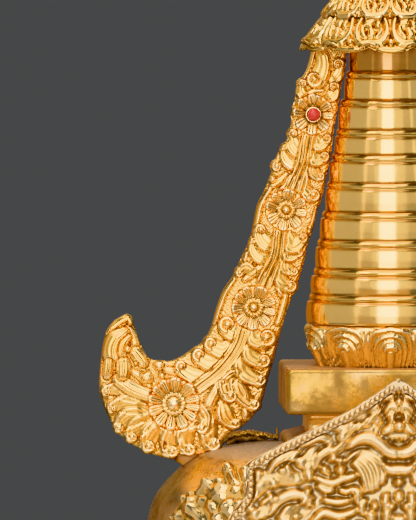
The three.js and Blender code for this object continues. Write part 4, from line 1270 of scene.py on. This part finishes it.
# Rolled leaves of the foliage: start, centre of the roll, radius, hand and half width.
FOLIAGE_CURLS = [
    ((-52, -14), (-55.5, -6.4), 3.2, 1, 2.6), ((-60, -18), (-64.5, -8.4), 3.4, 1, 2.8),
    ((-54, -24), (-57.5, -15.0), 3.4, -1, 3.0), ((-66, -24), (-73.0, -14.0), 3.4, 1, 3.2),
    ((-60, -32), (-66.0, -22.4), 3.2, -1, 3.0), ((-70, -34), (-79.5, -23.5), 3.4, 1, 3.4),
    ((-54, -42), (-57.5, -31.0), 3.6, 1, 3.2), ((-64, -42), (-71.5, -32.4), 3.4, -1, 3.2),
    ((-74, -46), (-84.0, -36.0), 3.6, 1, 3.6), ((-62, -56), (-66.5, -46.0), 3.4, 1, 3.2),
    ((-74, -56), (-84.0, -49.5), 3.4, 1, 3.4), ((-56, -64), (-57.5, -54.0), 3.4, -1, 3.2),
    ((-68, -66), (-77.5, -61.0), 3.2, 1, 3.2), ((-58, -74), (-66.5, -68.0), 3.2, 1, 3.0),
]
FOLIAGE_ROWS = 120
FOLIAGE_COLUMNS = 60
FOLIAGE_ROW_STEP = 0.6  # what each row counts for where the sheet's ends are taken as edges


def dome_shape(angle, radius, height):
    uneven = np.sin(5 * angle + 0.04 * height) * np.sin(height * 0.11)
    uneven = uneven + 0.6 * np.sin(9 * angle - 0.09 * height)
    fade = ease(height, DOME_HIGH, DOME_HIGH - 6) * ease(height, DOME_LOW, DOME_LOW + 6)
    return 0.28 * uneven * fade - 0.25 * fade, 0 * height, None


def make_dome(dusty):
    # the dome's gilding: the dark soil on its top is dust and painted shade
    round_piece(
        "dome_body", DOME_OUTLINE, 0, dusty, ["dome"], segments=180, step=2.8, shape=dome_shape
    )


def dome_section():
    """The dome's section from its top down: the run along it, its radius and height, and its normal."""
    rows = fine_profile(DOME_OUTLINE, 1.0)[1:-1][::-1]
    run = run_along(rows)
    along = np.pad(np.gradient(rows, run, axis=0), [(3, 3), (0, 0)], mode="edge")
    along = np.stack([np.convolve(along[:, i], np.ones(7) / 7, mode="valid") for i in (0, 1)], axis=1)
    along /= np.linalg.norm(along, axis=1)[:, None]
    return run, rows, np.stack([-along[:, 1], along[:, 0]], axis=1)


def make_foliage(chased):
    """Rolled leaves over the dome's shoulder, laid out along its surface: round it from the left side's
    middle and down from its top."""
    run, section, normal = dome_section()

    def unrolled(points):
        """Places seen from the front, in x and in height over the dome's top, as places on its surface."""
        x, z = np.array(points, dtype=float).T
        down = np.interp(-z - DOME_TOP, -section[:, 1], run)
        radius = np.interp(down, run, section[:, 0])
        return np.stack([radius * np.arcsin(np.clip(x / radius, -0.99, 0.99)), -down], axis=1)

    outer, inner = (smooth_path(unrolled(edge), 20) for edge in (FOLIAGE_OUTER, FOLIAGE_INNER))
    at = np.linspace(0, len(outer) - 1, FOLIAGE_ROWS)
    outer, inner = (picked(edge, np.arange(len(edge)), at) for edge in (outer, inner))
    outer[:, 0] -= 1.3 * np.abs(np.sin(np.linspace(0, 9 * math.pi, FOLIAGE_ROWS))) - 0.8
    blend = np.linspace(0, 1, FOLIAGE_COLUMNS)
    x, z = spanned(outer, inner, blend)
    relief = Relief(x, z)
    relief.stipple(0.15, 1.6)
    for start, centre, radius, hand, width in FOLIAGE_CURLS:
        start, centre = unrolled([start, centre])
        relief.leaf([(start + centre) / 2, centre], [0.7 * width, 1.1 * width], 1.6, flat=0.9, groove=0.6)
        relief.roll(centre, 1.4 * radius, hand, 1.2, 2.6)
    low, high = (x.min(), z.min()), (x.max(), z.max())
    relief.fill(low, high, 6.2, (x.max(), z.min()), seed=5, sizes=(2.2, 3.2), rise=2.2, lumps=True)
    relief.height = softened(relief.height, 1)
    row = np.arange(FOLIAGE_ROWS)
    from_end = np.minimum(row, FOLIAGE_ROWS - 1 - row)[:, None] * FOLIAGE_ROW_STEP
    from_edge = np.minimum(blend * np.hypot(*(outer - inner).T)[:, None], from_end)
    height = 1.0 + relief.height - 0.8 * ease(from_edge, 1.4, 0)
    # painted highlight on ridges and painted shade in hollows
    tone = relief_light_and_shade(relief.height, 3.0, 8)

    for name, side in (("foliage_left", 1), ("foliage_right", -1)):

        def place(x, z, height):
            radius, level = np.moveaxis(picked(section, run, -z), -1, 0)
            out_r, out_z = np.moveaxis(picked(normal, run, -z), -1, 0)
            turn = x / radius
            reach = radius + (height + 0.3) * out_r
            up = level + (height + 0.3) * out_z
            return np.stack([side * reach * np.sin(turn), -reach * np.cos(turn), up], axis=-1)

        sheet_piece(f"{name}_leaves", x, z, height, place, chased, [name], tone, curved=True)


# Fastenings of the ribbons

# Middle lines of the bars: x, and height over the dome's top.
STRAP_LINE = [
    (-66.2, -0.6), (-63.6, 0.8), (-60.6, 2.3), (-57, 2.9), (-53.4, 3.0), (-50.2, 2.4), (-47.4, 2.0),
    (-45, 1.4), (-42.8, 1.2),
]
# The dark flap behind and under the strap: a dark sheet that is painted shadow under the strap.
SHADOW_FLAP_LINE = [(-63.6, -1.6), (-60.6, -0.2), (-57, 0.6), (-53, 0.8), (-50, 0.2), (-47.4, -0.6)]
PIN_LINE = [(-43.6, 1.0), (-43.5, 3.0), (-43.4, 5.2)]
LUG_LINE = [(-79.2, -0.5), (-79.8, -3.4), (-80.6, -6.4), (-82.0, -8.8)]
BAR_SIDES = 32


def bent_bar(name, line, width, thick, at, material, replaces, crumple, taper):
    """A bar of flat section that follows a line in x and height, on the left and mirrored on the right.
    at is the place of its middle in y, crumple how uneven it is, and taper the share of its thickness
    that is lost at its end."""
    path = smooth_path(line, 10)
    along = np.gradient(path, axis=0)
    along /= np.linalg.norm(along, axis=1)[:, None]
    turn = circle(BAR_SIDES)
    across = np.sign(np.cos(turn)) * np.abs(np.cos(turn)) ** 0.4
    lift = np.sign(np.sin(turn)) * np.abs(np.sin(turn)) ** 0.6
    run = np.arange(len(path))[:, None]
    uneven = np.sin(0.31 * run + 3 * across) + 0.7 * np.sin(0.83 * run - 4 * across) + 0.5 * np.sin(1.7 * run)
    lift = 0.5 * thick * (1 - taper * run / (len(path) - 1)) * lift + crumple * uneven
    side = 0.5 * width * across * (1 + 0.12 * crumple * np.sin(0.5 * run + 1))
    x = path[:, :1] - along[:, 1:] * lift
    z = path[:, 1:] + along[:, :1] * lift + DOME_TOP
    faces = tube_faces(len(path), BAR_SIDES)
    for mirror, end in ((1, "left"), (-1, "right")):
        points = np.stack([mirror * x, at + side, z], axis=-1)
        nodes = [f"{node}_{end}" for node in replaces]
        make_piece(f"{name}_{end}", points, faces, material, nodes)


def make_fastenings(dusty, plain, bright):
    """What holds the ribbons down on the dome: a bent strap with its pin, and a lug; behind the strap a dark
    flap stands for the shadow under it.
    """
    strap_at = cad_middle("ribbon_strap_left")[1]
    for name, line, width, thick, at, material, replaces, crumple, taper in (
        ("bent_strap", STRAP_LINE, 7.8, 1.7, strap_at, dusty, ["ribbon_strap"], 0.28, 0.0),
        # a dark flap as painted shadow under the strap, in nearly black gilding that the pin shares
        ("strap_shadow_flap", SHADOW_FLAP_LINE, 3.0, 2.8, strap_at + 5, plain, [], 0.3, 0.0),
        ("strap_pin", PIN_LINE, 0.9, 0.9, strap_at - 2.6, plain, [], 0.0, 0.0),
        # the lug takes the dark gilding that is painted shade
        ("ribbon_lug", LUG_LINE, 5.0, 10.0, 0.0, bright, [], 0.08, 0.25),
    ):
        bent_bar(name, line, width, thick, at, material, replaces, crumple, taper)


# Gabled front

# Half width and height of the plate.
GABLE_OUTLINE = [
    (42, 236), (46, 240), (50, 243), (56, 245.8), (62, 248), (66, 252), (69, 257), (70.2, 262), (70, 268),
    (68.4, 273.4), (66, 278), (63.2, 281.4), (60.8, 284), (60.4, 286), (60.2, 297.2), (59.4, 298.0),
    (55.3, 300.4), (45.9, 305.2), (29.6, 313.2), (18.7, 318.7), (10.6, 323.9), (0.6, 330.9),
]
GABLE_LOW = 236 - DOME_TOP
GABLE_HIGH = 30.8
GABLE_FACE = 100.0
GABLE_DEPTH = 3.0
GABLE_ROWS = 170
GABLE_COLUMNS = 206
BORDER_INSET = 1.8
# Forms of the mask and its arms, from the plate's middle line outward: path, half widths, rise, ridges.
GABLE_FORMS = [
    ([(0, 19.6), (2.8, 19.4), (4.6, 17.7)], [3.2, 2.9, 1.7], 2.4, 0),
    ([(1.1, 17.2), (3.1, 17.3), (4.8, 15.9)], [0.7, 1.3, 0.7], 2.4, 0),
    ([(0, 11.6), (2.8, 11.2), (5.2, 10.0)], [3.4, 3.1, 2.1], 2.7, 0),
    ([(0.3, 8.4), (2.4, 8.1), (4.8, 7.3)], [1.3, 1.3, 0.8], 1.8, 3),
    ([(19.5, 4.5), (15.6, 7.1), (11.3, 7.4), (7.7, 5.3), (4.8, 2.6), (1.8, 1.4)],
     [1.7, 2.5, 3.1, 3.2, 3.2, 2.8], 2.8, 0),
    ([(21.1, -1.7), (17.1, 1.6), (12.2, 2.4), (8.3, 1.4)], [0.8, 1.3, 1.3, 0.8], 1.8, 0),
    ([(13.4, 1.4), (8.4, -0.6), (5.8, -4.4), (6.4, -10.0)], [1.2, 1.7, 1.7, 1.2], 1.9, 0),
    ([(15.0, 0.4), (10.6, -2.2), (8.6, -6.2), (8.6, -12.0)], [1.2, 1.7, 1.7, 1.2], 1.9, 0),
    ([(16.4, -0.8), (13.0, -3.6), (11.2, -7.4), (10.6, -13.0)], [1.2, 1.7, 1.7, 1.2], 1.9, 0),
    ([(17.8, -2.4), (15.4, -5.0), (13.8, -8.6), (12.6, -13.4)], [1.2, 1.7, 1.6, 1.1], 1.9, 0),
    ([(0, -5.1), (3.2, -5.1), (5.2, -3.9)], [2.8, 2.7, 1.5], 2.6, 0),
    ([(17.5, -7.4), (22.2, -8.6), (26.9, -10.4), (32.2, -8.4)], [1.4, 2.0, 2.0, 1.3], 2.4, 0),
    ([(18.0, -12.4), (20.6, -13.6), (23.2, -12.8)], [1.2, 1.7, 1.2], 2.0, 0),
    ([(26.2, -13.2), (29.0, -13.2), (31.8, -11.6)], [1.2, 1.7, 1.2], 2.0, 0),
    ([(19.6, -17.0), (24.6, -17.8), (29.4, -16.8)], [1.2, 1.9, 1.2], 2.1, 0),
    ([(37.5, 4.3), (33.8, 7.1), (29.7, 7.5), (26.9, 5.1)], [1.1, 1.7, 1.7, 1.1], 1.9, 0),
    ([(24.6, 2.6), (28.3, 2.4), (31.8, -0.4), (32.4, -4.1)], [1.1, 2.0, 1.8, 1.0], 1.9, 3),
    ([(39.5, 2.2), (43.6, 0.8), (48.7, -2.1), (51.4, -5.7)], [1.1, 2.0, 2.0, 1.1], 2.1, 3),
    ([(34.8, -16.3), (41.4, -14.7), (47.3, -17.0), (50.5, -22.1)], [1.4, 2.5, 2.4, 1.3], 2.2, 3),
    ([(17.5, -21.4), (23.6, -23.4), (29.5, -22.0), (34.2, -25.4)], [1.4, 2.1, 2.1, 1.2], 2.2, 0),
]
# Beads of the mask: x, height over the dome's top, and radius.
GABLE_BALLS = [
    (0, 26.7, 1.0), (2.9, 14.9, 1.6), (0, -9.8, 1.7), (23.1, -5.0, 2.0), (23.1, -1.4, 1.1),
    (36.1, -13.4, 1.5), (9.6, -19.5, 1.5), (3.1, -19.5, 1.5), (5.6, -15.9, 1.2), (1.0, 7.2, 0.7),
    (2.6, 6.5, 0.7), (0, -14.5, 1.1), (13.6, -17.6, 1.1),
]
# Rolled leaves: start, centre of the roll, radius, hand, half width.
GABLE_CURLS = [
    ((2.2, 22.0), (5.2, 23.3), 1.9, -1, 1.4), ((6.4, 12.8), (8.7, 18.6), 2.3, 1, 1.8),
    ((6.9, 11.0), (11.8, 13.9), 2.3, 1, 1.8), ((9.9, 8.8), (16, 11.4), 2.0, -1, 1.6),
    ((16.7, 8.8), (22, 8.4), 2.4, 1, 1.8), ((20.9, 4.3), (25.8, -0.2), 2.0, -1, 1.6),
    ((33.8, 3.7), (38.7, -1.9), 2.6, 1, 2.2), ((32.2, -3.5), (35.4, -7.0), 2.2, -1, 1.8),
    ((37.9, -8.2), (43.8, -5.9), 2.8, 1, 2.4), ((40.9, -11.2), (49.7, -10.2), 2.8, -1, 2.4),
    ((49.1, -5.9), (55.6, -6.8), 2.6, 1, 2.2), ((51.8, -11.9), (56.9, -15.3), 2.4, -1, 2.2),
    ((51.1, -18.4), (57.1, -22.1), 2.6, 1, 2.2), ((40.9, -20.0), (44.2, -25.1), 3.0, -1, 2.4),
]
# Small round studs of the plate: x, how far below its top, and radius.
GABLE_STUDS = [
    (36.1, 44.1, 1.3), (37.7, 48.6, 1.2), (53.4, 48.4, 1.2), (42.0, 31.4, 1.5), (44.3, 34.5, 1.2),
    (46.8, 35.9, 1.1), (35.2, 39.1, 1.1), (9.6, 50.2, 1.3), (2.8, 50.2, 1.3), (2.8, 15.5, 1.3),
    (0, 18.6, 2.4), (0, 8.9, 1.4),
]
PEARL_PITCH = 2.35
PEARL_RADIUS = 1.2
PEARL_FLATNESS = 1.1  # over 1: a pearl stands out a little more than it is wide
PEARL_OUT = 1.25
PEARL_ROWS = 5
PEARL_SIDES = 8


def gable_half_width(z):
    outline = np.array(GABLE_OUTLINE)
    return np.interp(z + DOME_TOP, outline[:, 1], outline[:, 0])


def edge_line(low, high, count):
    """A line that runs inside the plate's edge, upward from low to high."""
    z = np.linspace(low, high, count)
    x = gable_half_width(z)
    tangent = np.stack([np.gradient(x), np.gradient(z)], axis=1)
    tangent /= np.linalg.norm(tangent, axis=1)[:, None]
    return np.stack([x - BORDER_INSET * tangent[:, 1], z + BORDER_INSET * tangent[:, 0]], axis=1)


def round_bead(centres, radius, flatness, rows, sides, margin):
    """Beads that face the front, open by a margin at both poles: one grid of points for each centre."""
    polar, turn = np.linspace(margin, math.pi - margin, rows)[:, None], circle(sides)
    ball = [np.sin(polar) * np.cos(turn), 0 * turn - flatness * np.cos(polar), np.sin(polar) * np.sin(turn)]
    return np.asarray(centres)[:, None, None, :] + radius * np.stack(ball, axis=-1)


def make_gable_pearls(chased):
    """The row of small pearls that runs inside the plate's edge."""
    line = edge_line(GABLE_LOW + 0.8, GABLE_HIGH - 1.0, 600)
    run = run_along(line)
    x, z = picked(line, run, np.arange(0.5 * PEARL_PITCH, run[-1], PEARL_PITCH)).T
    y = np.full(2 * len(x), -PEARL_OUT - GABLE_FACE)
    centres = np.stack([np.concatenate([x, -x]), y, np.tile(z + DOME_TOP, 2)], axis=1)
    points = round_bead(centres, PEARL_RADIUS, PEARL_FLATNESS, PEARL_ROWS, PEARL_SIDES, margin=0.3)
    size = PEARL_ROWS * PEARL_SIDES
    faces = [group + size * i for i in range(len(centres)) for group in tube_faces(PEARL_ROWS, PEARL_SIDES)]
    make_piece("gable_pearls", points, faces, chased, relief=np.full(size * len(centres), 0.6))


def on_gable(x, z, height):
    return np.stack([x, GABLE_DEPTH - GABLE_FACE - height, z], axis=-1)


def make_gable(chased):
    z = np.linspace(GABLE_LOW, GABLE_HIGH, GABLE_ROWS)[:, None]
    x = np.linspace(-1, 1, GABLE_COLUMNS)[None, :] * gable_half_width(z)
    z = z + 0 * x
    relief = Relief(np.abs(x), z)
    relief.stipple(0.22, 1.7)
    for curl in GABLE_CURLS:
        relief.curl(*curl, rise=2.2)
    for path, widths, rise, ridges in GABLE_FORMS:
        relief.leaf(path, widths, rise, flutes=ridges, flute=0.55, groove=0.7, line=0.5, flat=0.8)
    for ball_x, ball_z, radius in GABLE_BALLS:
        relief.ball((ball_x, ball_z), radius, 1.3 * radius, 1.4)
    for reach in np.arange(4.0, 40.0, 12.5):
        relief.curl((reach, -60), (reach + 6, -50), 3.2, 1, 2.8, rise=2.2)
        relief.curl((reach + 9, -46), (reach + 3, -36), 3.2, 1, 2.8, rise=2.2)
    relief.fill((0, -62), (70, 30), 5.0, (0, -70), seed=11, sizes=(1.8, 2.7), rise=2.2, lumps=True)
    for ball_x, below, radius in GABLE_STUDS:
        relief.ball((ball_x, GABLE_HIGH - below), radius, 1.2 * radius, 1.6)
    relief.height = softened(1.75 * relief.height, 2)
    border = edge_line(GABLE_LOW + 0.5, GABLE_HIGH - 0.8, 24)
    relief.leaf(border, [1.7, 1.7], 0.2, groove=0.4, flat=0.3)
    # painted shade on the ground along the border, round the pearls
    near, *_, reach = relief.follow(border, 2.5)
    relief.shade[near] -= 0.42 * ease(reach, 1.9, 1.5)
    foot = GABLE_LOW + 1.4
    relief.leaf([(0, foot), (30, foot), (60, foot)], [0.8] * 3, 1.4)
    # painted highlight on ridges and painted shade in hollows, set a little darker, with the border's painted
    # shade
    tone = relief_light_and_shade(relief.height, 3.0, 10) - 0.14 + relief.shade
    height = GABLE_DEPTH + relief.height
    sheet_piece("gable_crest", x, z + DOME_TOP, height, on_gable, chased, ["gable_plate"], tone)
    make_gable_pearls(chased)


ARCH_HALF = 24.0
ARCH_SPRING = 206.0
ARCH_FOOT = 166.0
# The outer edge of the plate round the niche.
NICHE_EDGE = [(-40, 162), (-40, 226), (-42, 235.8), (0, 235.8), (42, 235.8), (40, 226), (40, 162)]
NICHE_ROWS = 280
NICHE_COLUMNS = 38


def make_niche_surround(chased):
    """The plate round the arched opening, below the crest: grid rows follow the arch."""
    foot = ARCH_SPRING - ARCH_FOOT
    run = np.linspace(0, 2 * foot + math.pi * ARCH_HALF, NICHE_ROWS)
    whole = run[-1]
    turn = np.clip((run - foot) / ARCH_HALF, 0, math.pi)
    upright = np.maximum(0, foot - run) + np.maximum(0, run - foot - math.pi * ARCH_HALF)
    arch = np.stack([-ARCH_HALF * np.cos(turn), ARCH_SPRING + ARCH_HALF * np.sin(turn) - upright], axis=1)
    corners = np.array(NICHE_EDGE, dtype=float)
    at = run_along(corners)
    shoulder = foot + 0.28 * math.pi * ARCH_HALF
    bend = np.interp(run, [0, foot, shoulder, whole / 2], [0, 0.60 * at[1], at[2], at[-1] / 2])
    bend = np.where(run <= whole / 2, bend, at[-1] - bend[::-1])
    edge = picked(corners, at, bend)
    blend = np.linspace(0, 1, NICHE_COLUMNS)[None, :]
    x, z = spanned(arch, edge, blend)
    width = np.hypot(*(edge - arch).T)[:, None]
    relief = Relief(blend * width, run[:, None] + 0 * blend)
    relief.stipple(0.15, 1.6)
    for along in np.arange(5.0, whole - 4, 7.2):
        relief.curl((3.4, along - 4.2), (8.6, along), 2.4, 1, 2.0, rise=1.8)
    relief.fill((9, 0), (34, whole), 5.0, (0, whole / 2), seed=17, sizes=(1.5, 2.4), rise=1.9, lumps=False)
    relief.leaf([(0.9, 0), (0.9, whole / 2), (0.9, whole)], [0.9] * 3, 1.6)
    relief.beads((2.7, 0), (2.7, whole), 2.0, 0.85, 1.2, 0.4)
    relief.leaf([(4.2, 0), (4.2, whole / 2), (4.2, whole)], [0.4] * 3, 1.1)
    height = GABLE_DEPTH + relief.height - 0.8 * ease(width * (1 - blend), 1.2, 0)
    # painted highlight on ridges and painted shade in hollows
    sheet_piece("niche_surround", x, z, height, on_gable, chased, (), relief_light_and_shade(relief.height, 1.9, 8))


# Dome lotus

DOME_PETALS = 20
DOME_PETAL_WIDTH = 26.0
LOTUS_FOOT = 144
DOME_LOTUS = [
    (0.5, 144), (80, 144), (81.6, 144.5), (83.6, 148.5), (81.5, 152), (78.4, 154.5), (78.2, 157.4),
    (77.6, 158), (0.5, 158),
]


def dome_lotus_shape(angle, radius, height):
    relief = Relief(petal_fold(angle, DOME_PETALS) * DOME_PETAL_WIDTH, height - LOTUS_FOOT)
    relief.leaf([(13, 1.5), (13, 5), (13, 9.5)], [1.6, 2.6, 0.5], 0.9)
    relief.leaf([(0, 1.2), (0, 5), (0, 10.4)], [8.0, 10.0, 2.0], 1.5, flat=0.5, rim=0.4)
    relief.leaf([(0, 1.6), (0, 4.6), (0, 8.4)], [4.0, 5.2, 1.0], 2.2, groove=0.5, flat=0.5, rim=0.4)
    relief.beads((0, 12.3), (13, 12.3), 2.2, 0.95, 1.0)
    face = ease(radius, 70, 76)
    # painted highlight on ridges and painted shade in hollows
    return (relief.height - 0.9) * face, 0 * height, relief_light_and_shade(relief.height, 1.8, 8, True)


def make_dome_lotus(chased):
    round_piece(
        "dome_lotus_petals", DOME_LOTUS, 0, chased, ["dome_lotus"],
        segments=480, step=0.8, shape=dome_lotus_shape,
    )


# Throne

# Half width and height of the lotus slab and the cornice; of a step, how far each point stands out
# from its half width, and height over its foot.
BASE_LOTUS = [
    (0.5, 0), (150, 0), (151.4, 0.6), (152, 1.6), (152, 8.6), (151, 9.8), (149, 10.8), (144.6, 11.0),
    (144.2, 13.2), (141, 15.2), (137, 17.0), (133, 18.6), (130.4, 20), (0.5, 20),
]
CORNICE = [
    (0.5, 66), (128, 66), (130.5, 67), (134, 71), (136.6, 73.6), (137, 75.2), (142, 75.6), (143, 76.6),
    (143, 83), (142.4, 84), (0.5, 84),
]
STEP = [(0, 0), (0, 1.8), (-0.6, 2.6), (-1.5, 3.2), (-1.5, 11), (-0.6, 12), (0, 12.8), (0, 14.6), (-0.4, 15)]
STEP_FOOT = 84
STEP_RISE = 15
STEP_HALF = 130  # half the width of the lowest step
STEP_INSET = 8  # how far each step is set back from the one below it
STUDS_ALONG_STEP = 20  # on the lowest step, and one less on each step above
PETALS_ALONG_BASE = 24
PETALS_ALONG_CORNICE = 22


def along_side(relief_of, count):
    """A shape for a square piece whose sides carry count equal petals each."""

    def shape(across, half, height):
        width = 2 * half / count
        place = across / width + count / 2
        relief = Relief(np.abs(place - np.floor(place) - 0.5) * width, height)
        relief_of(relief)
        # painted highlight on ridges and painted shade in hollows
        return relief.height, relief_light_and_shade(relief.height, 1.8, 6)

    return shape


def base_petals(relief):
    relief.leaf([(6.3, 2.0), (6.3, 6), (6.3, 9.6)], [0.8, 1.6, 0.4], 0.9)
    relief.leaf([(0, 0.8), (0, 4.0), (0, 9.0)], [4.6, 5.4, 1.4], 1.3, flat=0.5, rim=0.4)
    relief.leaf([(0, 1.2), (0, 4.0), (0, 7.2)], [2.0, 2.8, 0.8], 1.9, flat=0.5)
    relief.beads((0, 12.0), (6.6, 12.0), 2.2, 0.8, 0.8)
    relief.height -= 1.4 * ease(relief.z, 10.4, 9.6) * ease(relief.z, 0.0, 0.6)


def cornice_petals(relief):
    relief.leaf([(6.3, 67.2), (6.3, 70), (6.3, 73.6)], [0.8, 1.5, 0.4], 0.8)
    relief.leaf([(0, 66.6), (0, 70), (0, 74.0)], [3.6, 5.2, 4.6], 1.2, flat=0.5, rim=0.4)
    relief.beads((0, 81.6), (6.6, 81.6), 2.2, 0.9, 0.9)
    relief.beads((0, 78.0), (6.6, 78.0), 6.5, 1.7, 1.3)
    relief.height -= 0.9


def step_band(relief):
    relief.z = np.mod(relief.z - STEP_FOOT, STEP_RISE)
    relief.beads((0, 7.4), (6.6, 7.4), 6.5, 1.5, 1.0)
    relief.leaf([(1.9, 5.4), (4.0, 7.4), (1.9, 9.4)], [0.4, 0.7, 0.4], 0.7)
    relief.height -= 0.5


def make_throne(chased):
    base = along_side(base_petals, PETALS_ALONG_BASE)
    cornice = along_side(cornice_petals, PETALS_ALONG_CORNICE)
    for name, rows, node, columns, shape, corner in (
        ("base_lotus", BASE_LOTUS, "base_slab", 132, base, 1.2),
        ("cornice_lotus", CORNICE, "throne_cornice", 120, cornice, 1.0),
    ):
        square_piece(name, rows, 0, chased, [node], columns, 1.3, shape, corner)
    for i in range(4):
        half, node = STEP_HALF - STEP_INSET * i, f"step_{i + 1}"
        rows = [(0.5, 0)] + [(half + out, height) for out, height in STEP] + [(0.5, STEP_RISE)]
        band = along_side(step_band, STUDS_ALONG_STEP - i)
        foot = STEP_FOOT + STEP_RISE * i
        square_piece(
            f"{node}_moulding", rows, foot, chased, [node], columns=100, step=1.4, shape=band, corner=0.8
        )


PANEL_HALF = 111.4
PANEL_LOW = 20.6
PANEL_HIGH = 65.4
PANEL_MIDDLE = (PANEL_LOW + PANEL_HIGH) / 2
PANEL_FACE = 120.3
PANEL_DEPTH = 3.0
PANEL_ROWS = 44
PANEL_COLUMNS = 176
PANEL_ROSETTE = 15


def make_panels(chased):
    """One chased panel on each side of the throne, with a scroll either side of a rosette."""
    x = np.linspace(-PANEL_HALF, PANEL_HALF, PANEL_COLUMNS)[None, :] + np.zeros((PANEL_ROWS, 1))
    z = np.linspace(PANEL_LOW, PANEL_HIGH, PANEL_ROWS)[:, None] + 0 * x
    middle = PANEL_MIDDLE
    relief = Relief(np.abs(x), z)
    relief.stipple(0.18, 2.4)
    for i in range(4):
        reach = 26 + 23 * i
        hand = 1 if i % 2 else -1
        start, centre = (reach - 16, middle + 12 * hand), (reach + 2, middle - 3 * hand)
        relief.curl(start, centre, 8.2, hand, 4.6, rise=1.7)
        start, centre = (reach + 4, middle + 8 * hand), (reach + 11, middle + 11 * hand)
        relief.curl(start, centre, 3.6, -hand, 3.0, rise=1.4)
    low, high = (14, PANEL_LOW + 4), (108, PANEL_HIGH - 3)
    relief.fill(low, high, 7.0, (0, middle), seed=23, sizes=(2.2, 3.2), rise=1.9, lumps=False)
    relief.rosette((0, middle), PANEL_ROSETTE, 12)
    relief.boss((0, middle), PANEL_ROSETTE, "beaded")
    from_edge = np.minimum(np.minimum(z - PANEL_LOW, PANEL_HIGH - z), PANEL_HALF - np.abs(x))
    border = 0.4 + 1.2 * ease(np.abs(from_edge - 1.8), 1.5, 0.3)
    relief.height = np.where(from_edge < 3.4, border, relief.height)
    # painted highlight on ridges and painted shade in hollows
    tone = relief_light_and_shade(relief.height, 1.9, 8)
    for turn, face in enumerate(("front", "right", "back", "left")):

        def place(x, z, height):
            return quarter_turned(x, -(PANEL_FACE + height), z, turn)

        name = f"throne_panel_{face}"
        sheet_piece(f"{name}_chased", x, z, PANEL_DEPTH + relief.height, place, chased, [name], tone)


# Set beads

CORAL_FLATNESS = 0.82
CORAL_ROWS = 24
CORAL_SIDES = 36


def make_corals(material):
    """The set beads, polished and a little flattened."""
    for name in ("coral_left", "coral_right"):
        half = (cad_high(name)[0] - cad_low(name)[0]) / 2
        points = round_bead([cad_middle(name)], half, CORAL_FLATNESS, CORAL_ROWS, CORAL_SIDES, margin=0.04)
        make_piece(f"{name}_bead", points, tube_faces(CORAL_ROWS, CORAL_SIDES), material, [name])


# The whole stupa


def dress_frame_nodes(materials):
    """Materials for the frame's own solids that stay in view."""
    slots = {entry["node"]: entry["material_slot"] for entry in frame["record"]["subparts"]}
    for node, piece in frame["nodes"].items():
        piece.data.materials.clear()
        piece.data.materials.append(materials[slots.get(node, "gilt")])


add_world()
add_camera()
add_lights()
add_floor()

# Chased pieces: range of roughness, tint, colour of the painted shade in the hollows, strength of the grain
# and its size
SATIN = gilt("satin_gilding", (0.18, 0.32), (1.0, 0.59, 0.145), (0.34, 0.15, 0.035), 0.10, 1400)
PETALS = gilt("petal_gilding", (0.18, 0.32), (1.0, 0.60, 0.16), (0.18, 0.09, 0.02), 0.06, 1400)
RELIEF = gilt("cast_gilding", (0.12, 0.26), (0.84, 0.59, 0.26), (0.23, 0.155, 0.06), 0.10)
SOFT_RELIEF = gilt("soft_relief_gilding", (0.30, 0.44), (0.85, 0.60, 0.29), (0.33, 0.23, 0.12), 0.10, 700)
# a brighter, oranger gold: painted light that stands for light bounced up onto the spire's lotus
LOTUS_LIT = gilt("lotus_lit_gilding", (0.18, 0.32), (1.0, 0.70, 0.27), (0.95, 0.50, 0.12), 0.08)
BRIGHT = gilt("bright_gilding", (0.12, 0.26), (0.74, 0.46, 0.13), (0.30, 0.10, 0.022), 0.05, 700)

# Turned and burnished pieces
BURNISHED = gilt("burnished_gilding", (0.14, 0.24), grain=0.03, grain_size=500, lathe=0.75)
# the rings' gilding, deep orange as painted shade in their collars and edges
TURNED = gilt(
    "turned_gilding", (0.14, 0.24), (1.0, 0.67, 0.23), GOLD_SHADE, 0.03, 500, lathe=0.75, edge=EDGE_COPPER
)

# Plain, worn and dusty sheet
# a dark brown-red gilding: painted shade, since the lug lies in shadow
LUG_SHADED = gilt("lug_shaded_gilding", (0.48, 0.58), (0.30, 0.11, 0.008), edge=(0.30, 0.12, 0.02))
# nearly black: painted shadow for the flap under the strap, shared by the pin
SHADOW_FLAP_AND_PIN = gilt("shadow_flap_and_pin_gilding", (0.2, 0.36), (0.17, 0.06, 0.014), grain=0.15, film=0.4)
PLAIN = gilt("plain_gilding", (0.18, 0.34), (0.88, 0.52, 0.13), dust=0.5)
SCUFFED = gilt(
    "scuffed_gilding", (0.12, 0.32), (0.42, 0.23, 0.045), worn=0.15, dust=0.9, film=0.6, edge=(0.9, 0.5, 0.18)
)
# dark soil on faces that look up: dust, made darker as painted shade for the dome's top, which lies in shade
# under the harmika and behind the gable
DUST_AND_SHADE = gilt(
    "dust_and_shade_gilding", (0.20, 0.36), (1.0, 0.69, 0.36), worn=0.06, dust=0.9, film=0.08, soil=(0.23, 0.12, 0.07),
    edge=(0.20, 0.14, 0.08),
)
CORAL = polished_coral()

dress_frame_nodes({"gilt": PLAIN, "polished_gilt": BURNISHED, "dull_gilt": DUST_AND_SHADE, "coral": CORAL})
make_ribbons(SATIN, PETALS)
make_rings(TURNED)
make_spire_foot(LOTUS_LIT)
make_umbrella(BRIGHT)
make_jewel(BURNISHED)
make_moon(BURNISHED)
make_sun(BRIGHT)
make_harmika(PLAIN, SCUFFED)
make_dome(DUST_AND_SHADE)
make_foliage(RELIEF)
make_fastenings(SCUFFED, SHADOW_FLAP_AND_PIN, LUG_SHADED)
make_gable(SOFT_RELIEF)
make_niche_surround(RELIEF)
make_dome_lotus(RELIEF)
make_throne(RELIEF)
make_panels(RELIEF)
make_corals(CORAL)
